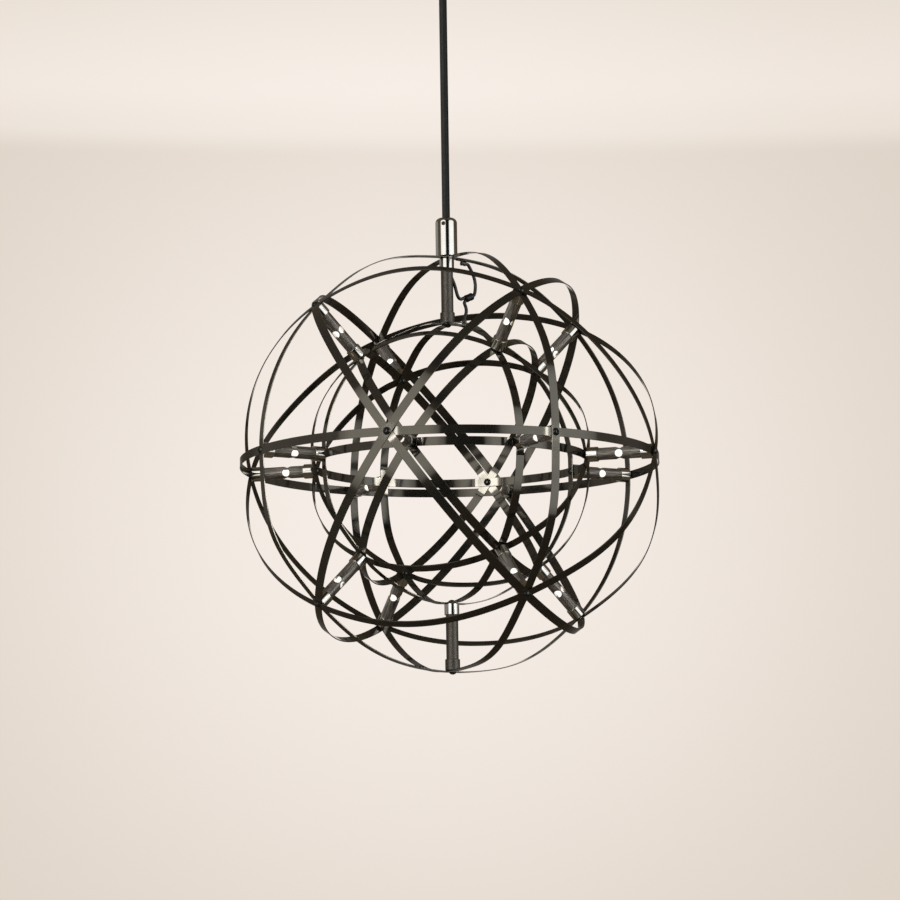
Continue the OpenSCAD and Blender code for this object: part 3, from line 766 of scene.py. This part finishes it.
def dome_screw(shank):
    """A domed screw with a hexagon socket, whose shank lies below z = 0."""
    wide, high, thread = sizes().screw_head / 2, 0.0026, 0.002
    bm = turned([(0, -shank), (thread, -shank), (thread, 0), (wide - 0.0002, 0), (wide, 0.00012)]
                + dome(wide, high), 48)
    return cut_away(bm, hexagon_socket(0.0022, high + 0.001))


def block(size, centre):
    """A box at a place."""
    bm = bmesh.new()
    bmesh.ops.create_cube(bm, size=1, matrix=shift(*centre) @ Matrix.Diagonal((*size, 1)))
    return bm


# Operators


class PENDANT_OT_camera(bpy.types.Operator):
    """Stands the camera at the photograph's angle"""

    bl_idname = "pendant.camera"
    bl_label = "Camera"

    def execute(self, context):
        values = stage_values()
        back = Vector((0, -math.cos(values.camera_rise), -math.sin(values.camera_rise)))
        centre = Vector((0, 0, ORB_Z))
        place = centre + back * values.camera_distance
        aim = centre + Vector((values.aim_side, 0, values.aim_lift))
        lens = bpy.data.cameras.new("camera")
        lens.lens = values.camera_lens
        lens.sensor_width = 36
        lens.clip_start, lens.clip_end = 0.1, 100
        camera = bpy.data.objects.new("camera", lens)
        context.scene.collection.objects.link(camera)
        turn = (aim - place).to_track_quat("-Z", "Y").to_matrix().to_4x4()
        camera.matrix_world = shift(*place) @ turn @ Matrix.Rotation(-values.camera_roll, 4, "Z")
        context.scene.camera = camera
        return {"FINISHED"}


class PENDANT_OT_cable(bpy.types.Operator):
    """Makes the suspension cable, with its short bending stretch and its end in the canopy"""

    bl_idname = "pendant.cable"
    bl_label = "Suspension cable"

    def stretch(self, top, bottom, ball=False, hollow=False):
        """A round stretch: a ball or a flat end above, a hollow or a flat end below.

        Its rings lie close together where it bends, and 12 mm apart elsewhere.
        """
        radius, play, lip = sizes().cable_diameter / 2, 0.0003, 0.0001
        fine_steps, coarse_step = 20, 0.012
        below = arc(0, bottom, radius + play, range(90, 20, -10)) if hollow else [(0, bottom)]
        foot = below[-1][1] + lip if hollow else bottom
        fine = min(top - foot, BEND_LENGTH)
        coarse = top - fine - foot
        count = round(coarse / coarse_step)
        sides = [(radius, foot + coarse * k / count) for k in range(count)]
        sides += [(radius, top - fine + fine * k / fine_steps) for k in range(fine_steps + 1)]
        above = arc(0, top, radius, range(10, 91, 10)) if ball else [(0, top)]
        return turned(below + sides + above, 48)

    def execute(self, context):
        _, high_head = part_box("cable_head")
        low_cable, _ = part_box("cable")
        grip_z, bend_z, foot_z = GRIP_LOW.z, GRIP_LOW.z - BEND_LENGTH, low_cable.z
        reach = BEND_LENGTH / 2
        at_grip = ("ceiling", grip_z + reach, grip_z - reach)
        at_bend = ("cable_top", bend_z + reach, bend_z - reach)
        head = piece("cable_end", self.stretch(high_head.z, grip_z, hollow=True), "cable",
                     "ceiling", ["cable_head"])
        upper = piece("cable_bending_stretch", self.stretch(grip_z, grip_z - reach, ball=True),
                      "cable", "cable_top", ["cable_bend"], at_grip)
        lower = piece("cable_bending_stretch_end", self.stretch(bend_z + reach, bend_z),
                      "cable", "pendant", bend=at_bend)
        drop = piece("cable_drop", self.stretch(bend_z, foot_z), "cable", "pendant",
                     ["cable"], at_bend)
        length, steps = bend_z - foot_z, 24
        path = [(0, 0, bend_z - length * k / steps) for k in range(steps + 1)]
        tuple(path[0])
        return {"FINISHED"}


class PENDANT_OT_leads(bpy.types.Operator):
    """Makes the low voltage leads beside the top tube, their gathering sleeve and their lugs"""

    bl_idname = "pendant.leads"
    bl_label = "Low voltage leads"

    def lead(self, name, route, nodes=()):
        """A round lead along a smooth curve through a route's points."""
        line = bpy.data.curves.new(name, "CURVE")
        line.dimensions = "3D"
        line.bevel_depth = sizes().lead_diameter / 2
        line.bevel_resolution = 6
        line.use_fill_caps = True
        line.resolution_u = line.render_resolution_u = 6
        spline = line.splines.new("BEZIER")
        spline.bezier_points.add(len(route) - 1)
        for point, place in zip(spline.bezier_points, route):
            point.co = route_point(place)
            point.handle_left_type = point.handle_right_type = "AUTO"
        made = bpy.data.objects.new(name, line)
        bpy.context.scene.collection.objects.link(made)
        line.materials.append(finish_of("leads"))
        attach(made, "orb")
        if nodes:
            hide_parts(*nodes)
        return made

    def length(self, route):
        """A route's length along its points."""
        return sum(math.dist(a, b) for a, b in zip(route, route[1:]))

    def sleeve(self):
        """A shrunk sleeve with soft shoulders and a waist between its two leads."""
        length, wide = 0.011, 0.0045
        points = [(0, 0), (wide - 0.0013, 0), (wide - 0.0004, 0.0004), (wide, 0.0014),
                  (wide, 0.0035), (wide - 0.00035, 0.0055), (wide, 0.0075), (wide, length - 0.0014),
                  (wide - 0.0004, length - 0.0004), (wide - 0.0013, length), (0, length)]
        place = (shift(*route_point(GATHER_START)) @ in_orb().to_3x3().to_4x4()
                 @ Matrix.Rotation(-math.atan2(*GATHER_HEADING), 4, "X"))
        return placed(turned(points, 48), place)

    def lug(self, angle, radius, barrel_out):
        """A crimped lug: a plate along a strip, beside the top pole, and the lead's barrel."""
        thick = 0.0008
        plate = block((0.006, 0.012, thick), (0, 0, thick / 2))
        round_edges(plate, 0.00025, 3)
        points = [(0, 0), (0.0029, 0), (0.003, 0.0002), (0.003, 0.0018), (0.0026, 0.0024),
                  (0.0026, 0.0038), (0.003, 0.0044), (0.003, 0.0058), (0.0029, 0.006), (0, 0.006)]
        barrel = turned(points, 32)
        if barrel_out:
            barrel = placed(barrel, shift(0, 0.006, -0.0026) @ spun(90, "X"))
        return placed(joined([plate, barrel]), in_orb() @ spun(-angle, "X") @ shift(z=radius))

    def execute(self, context):
        supply = self.lead("supply_lead_curve", SUPPLY_ROUTE, ["supply_lead"])
        outer = self.lead("outer_lead_curve", OUTER_LEAD_ROUTE, ["orb_leads"])
        inner = self.lead("inner_lead_curve", INNER_LEAD_ROUTE)
        gather = piece("lead_gather_sleeve", self.sleeve(), "sleeve", "orb",
                       ["lead_gather"])
        under_outer, over_inner = SEAT_OUT + LAYER - 0.0008, SEAT_IN + 0.0003
        crimps = joined([self.lug(4.6, under_outer, True), self.lug(7.5, over_inner, False)])
        lugs = piece("lead_lug_crimps", crimps, "tubes", "orb", ["lead_lugs"])
        return {"FINISHED"}


class PENDANT_OT_strips(bpy.types.Operator):
    """Bends the fourteen strips of the two orbs, woven over and under at their crossings"""

    bl_idname = "pendant.strips"
    bl_label = "Strips"

    def execute(self, context):
        outer_face = SEAT_OUT + sizes().strip_thickness
        for orb, face, step, longer in ((OUTER_LAYERS, outer_face, LAYER, 0.0),
                                        (INNER_LAYERS, SEAT_IN, -LAYER, INNER_FLAT_EXTRA)):
            for node, layers in orb.items():
                bm = strip([face + layer * step for layer in layers], BOWS.get(node), longer)
                piece(node + "_strip", placed(bm, strip_place(node)), "strips", "orb",
                      [node])
        return {"FINISHED"}


class PENDANT_OT_ferrules(bpy.types.Operator):
    """Turns the ferrules at both ends of the eighteen arms"""

    bl_idname = "pendant.ferrules"
    bl_label = "Ferrules"

    def execute(self, context):
        screw_bore, rod_bore = 0.00205, 0.00405
        for_screw, for_rod = ferrule(screw_bore), ferrule(rod_bore)
        down, up = shift(z=SEAT_OUT) @ spun(180, "X"), shift(z=SEAT_IN)
        outer = [placed(for_screw, along(arm) @ down) for arm in LAMP_ARMS]
        outer.append(placed(for_rod, along(TOP_POLE) @ down))
        inner = [placed(for_screw, along(arm) @ up) for arm in LAMP_ARMS + [BOTTOM_POLE]]
        top = placed(for_screw, along(TOP_POLE) @ up)
        bottom = placed(for_screw, along(BOTTOM_POLE) @ down)
        piece("outer_ferrules_turned", joined(outer), "bright", "orb",
              ["outer_ferrules"])
        piece("inner_ferrules_turned", joined(inner), "bright", "orb",
              ["inner_ferrules"])
        # Painted shade: these two ferrules are turned like the others but take the darker tube
        # finish, a shaded copy of the bright finish for where they sit in the shade of the orbs
        piece("inner_top_ferrule_painted_shade", top, "tubes", "orb")
        piece("outer_bottom_ferrule_painted_shade", bottom, "tubes", "orb")
        return {"FINISHED"}


class PENDANT_OT_sleeves(bpy.types.Operator):
    """Makes the sixteen windowed lamp sleeves and the two pole tubes"""

    bl_idname = "pendant.sleeves"
    bl_label = "Lamp sleeves and pole tubes"

    def execute(self, context):
        start = SEAT_IN + FERRULE_WALL
        length = SEAT_OUT - FERRULE_WALL - start
        drilled = {ahead: self.windows(length, ahead / 1000) for ahead in set(SLEEVE_SHIFT)}
        rows = zip(LAMP_ARMS, SLEEVE_CLOCK, SLEEVE_SHIFT)
        for number, (arm, clock, ahead) in enumerate(rows, 1):
            place = along(arm) @ shift(z=start) @ spun(clock, "Z")
            piece(f"lamp_sleeve_{number}_tube", placed(drilled[ahead], place), "sleeves", "orb",
                  [f"lamp_sleeve_{number}"])
        plain, slotted = tube(length), cut_away(tube(length), self.slot_cutter(start))
        for name, node, arm, bm in (("top_tube_slotted", "top_tube", TOP_POLE, slotted),
                                    ("bottom_tube_plain", "bottom_tube", BOTTOM_POLE, plain)):
            write_uv(bm)
            piece(name, placed(bm, along(arm) @ shift(z=start)), "tubes", "orb",
                  [node])
        return {"FINISHED"}

    def windows(self, length, ahead):
        """A sleeve's tube, drilled through twice for its four round windows."""
        made, drill_length = tube(length), 0.02
        for side in (0, 90):
            place = shift(z=length / 2 + ahead) @ spun(side, "Z") @ spun(90, "Y")
            made = cut_away(made, rod(sizes().window_diameter / 2, drill_length, 64, place))
        write_uv(made)
        return made

    def slot_cutter(self, start):
        """A long round-ended hole on the tube's +Y side, for the supply lead."""
        low, high, wide, deep = 0.209 - start, 0.231 - start, 0.005, 0.0145
        bm = bmesh.new()
        bmesh.ops.create_circle(bm, cap_ends=True, segments=48, radius=wide / 2)
        for vert in bm.verts:
            if vert.co.y > 1e-6:
                vert.co.y += (high - low - wide) / 2
            elif vert.co.y < -1e-6:
                vert.co.y -= (high - low - wide) / 2
        made = bmesh.ops.extrude_face_region(bm, geom=bm.faces[:])
        bmesh.ops.translate(bm, vec=(0, 0, deep), verts=[
            v for v in made["geom"] if isinstance(v, bmesh.types.BMVert)])
        bmesh.ops.recalc_face_normals(bm, faces=bm.faces)
        return placed(bm, shift(z=(low + high) / 2) @ spun(-90, "X"))


class PENDANT_OT_screws(bpy.types.Operator):
    """Makes the domed screws that hold the strips on the ferrules"""

    bl_idname = "pendant.screws"
    bl_label = "Crossing screws"

    def execute(self, context):
        in_ferrule = 0.004
        shapes = {tall: dome_screw(tall + in_ferrule) for tall in (PLAIN_STACK, SLANTED_STACK)}
        outer = [placed(shapes[stack(arm)], along(arm) @ shift(z=SEAT_OUT + stack(arm)))
                 for arm in LAMP_ARMS + [BOTTOM_POLE]]
        inner = [placed(shapes[stack(arm)],
                        along(arm) @ shift(z=SEAT_IN - stack(arm)) @ spun(180, "X"))
                 for arm in LAMP_ARMS + [TOP_POLE, BOTTOM_POLE]]
        piece("outer_screws_domed", joined(outer), "screws", "orb",
              ["outer_screws"])
        piece("inner_screws_domed", joined(inner), "screws", "orb",
              ["inner_screws"])
        return {"FINISHED"}


class PENDANT_OT_lamps(bpy.types.Operator):
    """Makes the lit capsule lamps, and dresses their holders and contacts"""

    bl_idname = "pendant.lamps"
    bl_label = "Capsule lamps"

    def execute(self, context):
        size = sizes()
        radius, length = size.lamp_diameter / 2, size.lamp_length
        seat = (SEAT_OUT + SEAT_IN) / 2 - length / 2
        edge, pin_radius, pin_foot, pin_top, pin_side = 0.0006, 0.0004, -0.006, 0.0005, 0.002
        glass = turned([(0, 0), (radius - edge, 0), (radius, edge)]
                       + arc(0, length - radius, radius, range(0, 91, 9)), 40)
        pin = turned([(0, pin_foot), (pin_radius - 0.0001, pin_foot),
                      (pin_radius, pin_foot + 0.0002), (pin_radius, pin_top), (0, pin_top)], 12)
        bulbs, pins = [], []
        for arm, clock in zip(LAMP_ARMS, SLEEVE_CLOCK):
            place = along(arm) @ shift(z=seat) @ spun(clock + 45, "Z")
            bulbs.append(placed(glass, place))
            pins += [placed(pin, place @ shift(y=side)) for side in (-pin_side, pin_side)]
        piece("lamps_lit", joined(bulbs), "lamps", "orb", ["lamps"])
        piece("lamp_pins", joined(pins), "brass", "orb")
        dress("lamp_holders", "ceramic")
        dress("lamp_contacts", "brass")
        return {"FINISHED"}


class PENDANT_OT_stem(bpy.types.Operator):
    """Turns the stem that grips the cable, with its clamping screw, plug, rod and nut"""

    bl_idname = "pendant.stem"
    bl_label = "Stem"

    def execute(self, context):
        low, high = STEM_LOW.z, STEM_HIGH.z
        outer, bore, chamber, shoulder = 0.013, 0.0051, 0.0095, 0.006
        chamber_top, screw_z, screw_radius = high - 0.018, high - 0.0085, 0.0025
        stem = turned(
            [(chamber, low), (outer - 0.0005, low), (outer - 0.00015, low + 0.00015),
             (outer, low + 0.0005)]
            + arc(outer - shoulder, high - shoulder, shoulder, range(0, 91, 6))
            + [(bore + 0.0004, high), (bore, high - 0.0004), (bore, chamber_top),
               (chamber, chamber_top)], 128, closed=True)
        screw_turn, drill_length, drill_middle = -105, 0.012, 0.010
        facing = shift(z=screw_z) @ spun(screw_turn, "Z")
        drilled = facing @ shift(x=drill_middle) @ spun(90, "Y")
        stem = cut_away(stem, rod(screw_radius + PLAY, drill_length, 48, drilled))
        write_uv(stem)
        piece("stem_turned", stem, "bright", "pendant", ["stem"])
        start = sizes().cable_diameter / 2 + PLAY
        long = outer - start + 0.0004
        grub = turned([(0, 0), (screw_radius - 0.0003, 0), (screw_radius, 0.0003),
                       (screw_radius, long - 0.0004), (screw_radius - 0.0004, long), (0, long)], 40)
        grub = cut_away(grub, hexagon_socket(0.004, long + 0.0015))
        piece("stem_clamping_screw", placed(grub, facing @ shift(x=start) @ spun(90, "Y")), "tubes",
              "pendant", ["stem_screw"])
        dress("stem_plug", "bright")
        dress("stem_rod", "zinc")
        dress("stem_nut", "zinc")
        return {"FINISHED"}


class PENDANT_OT_canopy(bpy.types.Operator):
    """Spins the canopy cup and turns the cord grip, and dresses what the canopy hides"""

    bl_idname = "pendant.canopy"
    bl_label = "Canopy"

    def cup(self, wide):
        """The spun cup, with a rounded bend round its floor and a hole for the cord grip."""
        low, wall, bend, hole = CUP_LOW.z, 0.0012, 0.004, 0.00655
        return turned(
            [(hole, low)] + arc(wide - bend, low + bend, bend, range(-90, 1, 9))
            + [(wide, -0.0002), (wide - 0.0002, 0), (wide - wall, 0)]
            + arc(wide - bend, low + bend, bend - wall, range(0, -91, -9))
            + [(hole, low + wall)], 160, closed=True)

    def screw(self):
        """A domed screw with a slot, whose shank lies below z = 0."""
        wide, high, thread, tip = 0.004, 0.002, 0.002, -0.0044
        whole = turned([(0, tip), (thread - 0.0003, tip), (thread, tip + 0.0003), (thread, 0),
                        (wide - 0.0002, 0), (wide, 0.00012)] + dome(wide, high), 40)
        return cut_away(whole, block((0.0009, 0.0062, 0.0016), (0, 0, 0.0018)))

    def grip(self):
        """The cord grip, with a groove round it and a neck that goes up through the cup."""
        low, shoulder, high = GRIP_LOW.z, CUP_LOW.z, GRIP_HIGH.z
        bore, outer, neck, deep = 0.0051, 0.008, 0.0065, 0.0004
        return turned(
            [(bore, low), (outer - 0.0005, low), (outer - 0.00015, low + 0.00015),
             (outer, low + 0.0005), (outer, low + 0.0045), (outer - deep, low + 0.0049),
             (outer - deep, low + 0.0055), (outer, low + 0.0059), (outer, shoulder),
             (neck, shoulder), (neck, high), (bore, high)], closed=True)

    def execute(self, context):
        wide, screw_z = 0.060, -0.009
        cup, grip = self.cup(wide), self.grip()
        write_uv(cup)
        write_uv(grip)
        heads = [placed(self.screw(), spun(side, "Z") @ shift(wide, 0, screw_z) @ spun(90, "Y"))
                 for side in (0, 180)]
        piece("canopy_cup_spun", cup, "canopy", "ceiling", ["canopy_cup"])
        piece("canopy_screws_domed", joined(heads), "screws", "ceiling",
              ["canopy_screws"])
        piece("cord_grip_turned", grip, "bright", "ceiling", ["cord_grip"])
        dress("grip_screw", "screws")
        dress("grip_nut", "zinc")
        dress("ceiling_plate", "zinc")
        dress("lamp_driver", "case")
        dress("mains_block", "ceramic")
        return {"FINISHED"}


class PENDANT_OT_stage(bpy.types.Operator):
    """Lays the pale floor, and lights the object as the photograph's studio does"""

    bl_idname = "pendant.stage"
    bl_label = "Stage and light"

    def floor(self, context):
        """A pale matt floor, far below the light, that the metal doesn't mirror."""
        bm = bmesh.new()
        bmesh.ops.create_grid(bm, x_segments=24, y_segments=24, size=14,
                              matrix=shift(z=stage_values().floor_height))
        mesh = bpy.data.meshes.new("floor")
        bm.to_mesh(mesh)
        bm.free()
        made = bpy.data.objects.new("floor", mesh)
        context.scene.collection.objects.link(made)
        material, tree, shader = new_material("pale_floor")
        shader.inputs["Roughness"].default_value = 0.9
        shader.inputs["Specular IOR Level"].default_value = 0.1
        cloud = noise(tree, coordinates(tree, "Object"), 0.6)
        tint = mix_colour(tree, cloud, linear(190, 180, 169), linear(198, 188, 177))
        tree.links.new(tint, shader.inputs["Base Color"])
        shader.inputs["Emission Color"].default_value = linear(228, 217, 206)
        seen, own_light = tree.nodes.new("ShaderNodeLightPath").outputs["Is Camera Ray"], 0.42
        tree.links.new(calc(tree, "MULTIPLY", seen, own_light), shader.inputs["Emission Strength"])
        mesh.materials.append(material)
        made.visible_glossy = False

    def out_from(self, tree, front, level, centre, reach):
        """Distance from a lamp's centre, as a share of its reach."""
        across, upwards = (calc(tree, "DIVIDE", calc(tree, "SUBTRACT", value, middle), limit)
                           for value, middle, limit in zip((front, level), centre, reach))
        return distance(tree, across, upwards)

    def soft_box(self, tree, front, level, centre, reach):
        """A round soft box: even in its middle, dimmer towards its rim, and with a crisp edge."""
        out = self.out_from(tree, front, level, centre, reach)
        return calc(tree, "MULTIPLY", ramp(tree, out, 0.7, 1.0, 1.0, 0.55),
                    ramp(tree, out, 1.04, 0.96))

    def reflected(self, tree, level, front):
        """What the finishes reflect, by height and by compass angle from the camera, in degrees.

        From back to front: a dark warm room that is paler high up, the pale wall behind the light,
        a dim low band at both sides, a screen far to the left, the dark gap that the camera stands
        in, and the two soft boxes beside it, each with its lamp's bright core.
        """
        aside = calc(tree, "ABSOLUTE", front)
        lit = mix_colour(tree, window(tree, level, 18, 30, 58, 66), (0.068, 0.053, 0.035, 1),
                         (0.094, 0.073, 0.050, 1))
        wall = window(tree, aside, 152, 174, 300, 310, level, -35, -15, 35, 60)
        low_band = window(tree, aside, 56, 66, 116, 142, level, -14, -4, 10, 12)
        screen = window(tree, front, -178, -160, -104, -94, level, 10.8, 12, 18, 24)
        gap = window(tree, front, -14, -9, 24, 30, level, -42, -30, 46, 58)
        left = self.soft_box(tree, front, level, (-33, 10), (28, 35))
        right = self.soft_box(tree, front, level, (57, 5), (30, 33))
        strength = stage_values().box_strength
        for share, colour in (
                (wall, (0.15, 0.14, 0.125)), (low_band, (0.24, 0.22, 0.19)),
                (screen, (0.26, 0.25, 0.23)), (gap, (0.008, 0.007, 0.006)),
                (left, [strength * c for c in (1.0, 0.97, 0.91)]),
                (right, [strength * c for c in (0.985, 1.0, 0.985)])):
            lit = mix_colour(tree, share, lit, [*colour, 1])
        core_reach, core_light = (2.3, 2.0), (10.2, 10.1, 9.9, 1)
        for core in ((-30.4, 8.0), (55.6, 8.0)):
            hot = ramp(tree, self.out_from(tree, front, level, core, core_reach), 1.0, 0.8)
            lit = mix_colour(tree, hot, lit, core_light)
        return lit

    def backdrop(self, tree, level, behind, off_axis):
        """What the camera sees: a pale wall with a pool of light, and a lighter band above it.

        The band lies level in the rolled picture, and its edge is soft.
        """
        pool = ramp(tree, off_axis, 0.5, 10.4, 1.0, 0.0)
        pale = mix_colour(tree, pool, linear(222, 211, 199), linear(246, 237, 230))
        upright = calc(tree, "MULTIPLY_ADD", behind, math.tan(stage_values().camera_roll), level)
        edge = calc(tree, "ADD", ramp(tree, upright, 13.65, 14.1, 0.0, 0.7),
                    ramp(tree, upright, 13.95, 14.8, 0.0, 0.3))
        band = calc(tree, "MULTIPLY", edge, ramp(tree, upright, 17.0, 14.5, 0.45, 1.0))
        from_middle = calc(tree, "ABSOLUTE", calc(tree, "ADD", behind, 1.0))
        bright = mix_colour(tree, ramp(tree, from_middle, 0.0, 9.5), linear(247, 239, 231),
                            linear(239, 229, 220))
        return mix_colour(tree, band, pale, bright)

    def studio(self, context):
        """The world: a pale wall for the camera, and a studio for the finishes to reflect."""
        world = bpy.data.worlds.new("studio")
        world.use_nodes = True
        context.scene.world = world
        tree = world.node_tree
        tree.nodes.clear()
        x, y, z = axes(tree, coordinates(tree, "Generated"))
        level = calc(tree, "DEGREES", calc(tree, "ARCSINE", z))
        front = calc(tree, "DEGREES", calc(tree, "ARCTAN2", x, calc(tree, "MULTIPLY", y, -1.0)))
        behind = calc(tree, "DEGREES", calc(tree, "ARCTAN2", x, y))
        pool_side, pool_level, narrower = -0.45, 8.1, 0.94
        sideways = calc(tree, "MULTIPLY", calc(tree, "SUBTRACT", behind, pool_side), narrower)
        off_axis = distance(tree, sideways, calc(tree, "SUBTRACT", level, pool_level))
        shown = self.backdrop(tree, level, behind, off_axis)
        lit = self.reflected(tree, level, front)

        # The camera sees the backdrop, and so do rays off metal that run almost straight back
        path = tree.nodes.new("ShaderNodeLightPath").outputs
        straight = calc(tree, "MULTIPLY", path["Is Glossy Ray"], ramp(tree, off_axis, 12, 8))
        seen = calc(tree, "MAXIMUM", path["Is Camera Ray"], straight)
        sky = put(tree, "ShaderNodeBackground",
                  {"Color": mix_colour(tree, seen, lit, shown), "Strength": 1.0})
        put(tree, "ShaderNodeOutputWorld", {"Surface": sky.outputs[0]})

    def key(self, context):
        """A broad lamp at the left that lights what isn't metal, and isn't seen in the metal."""
        lamp = bpy.data.lights.new("key_lamp", "SUN")
        lamp.energy = stage_values().key_strength
        lamp.angle = math.radians(20)
        made = bpy.data.objects.new("key_lamp", lamp)
        context.scene.collection.objects.link(made)
        turn, rise = -62, 20
        way = spun(turn, "Z") @ spun(-rise, "X") @ Vector((0, -1, 0))
        made.rotation_euler = way.to_track_quat("Z", "Y").to_euler()
        made.visible_glossy = False

    def execute(self, context):
        self.floor(context)
        self.studio(context)
        self.key(context)
        context.scene.view_settings.view_transform = "Standard"
        return {"FINISHED"}


class PENDANT_PT_panel(bpy.types.Panel):
    """Lists the pendant light's pieces and their sizes"""

    bl_idname = "PENDANT_PT_panel"
    bl_label = "Cluster pendant light"
    bl_space_type = "VIEW_3D"
    bl_region_type = "UI"
    bl_category = "Pendant light"

    def draw(self, context):
        layout = self.layout
        for step in STEPS:
            layout.operator(step.bl_idname)
        for group in (sizes(), finishes(), stage_values()):
            box = layout.box()
            for name in group.__annotations__:
                box.prop(group, name)


STEPS = (
    PENDANT_OT_camera, PENDANT_OT_cable, PENDANT_OT_leads, PENDANT_OT_strips,
    PENDANT_OT_ferrules, PENDANT_OT_sleeves, PENDANT_OT_screws, PENDANT_OT_lamps,
    PENDANT_OT_stem, PENDANT_OT_canopy, PENDANT_OT_stage,
)
GROUPS = (PendantLightSizes, PendantLightFinishes, PendantLightStage)


def register():
    for kind in GROUPS + STEPS + (PENDANT_PT_panel,):
        bpy.utils.register_class(kind)
    bpy.types.Scene.pendant_light_sizes = PointerProperty(type=PendantLightSizes)
    bpy.types.Scene.pendant_light_finishes = PointerProperty(type=PendantLightFinishes)
    bpy.types.Scene.pendant_light_stage = PointerProperty(type=PendantLightStage)


def unregister():
    del bpy.types.Scene.pendant_light_stage
    del bpy.types.Scene.pendant_light_finishes
    del bpy.types.Scene.pendant_light_sizes
    for kind in reversed(GROUPS + STEPS + (PENDANT_PT_panel,)):
        bpy.utils.unregister_class(kind)


def main():
    register()
    for step in STEPS:
        group, name = step.bl_idname.split(".")
        getattr(getattr(bpy.ops, group), name)()


if __name__ == "__main__":
    main()
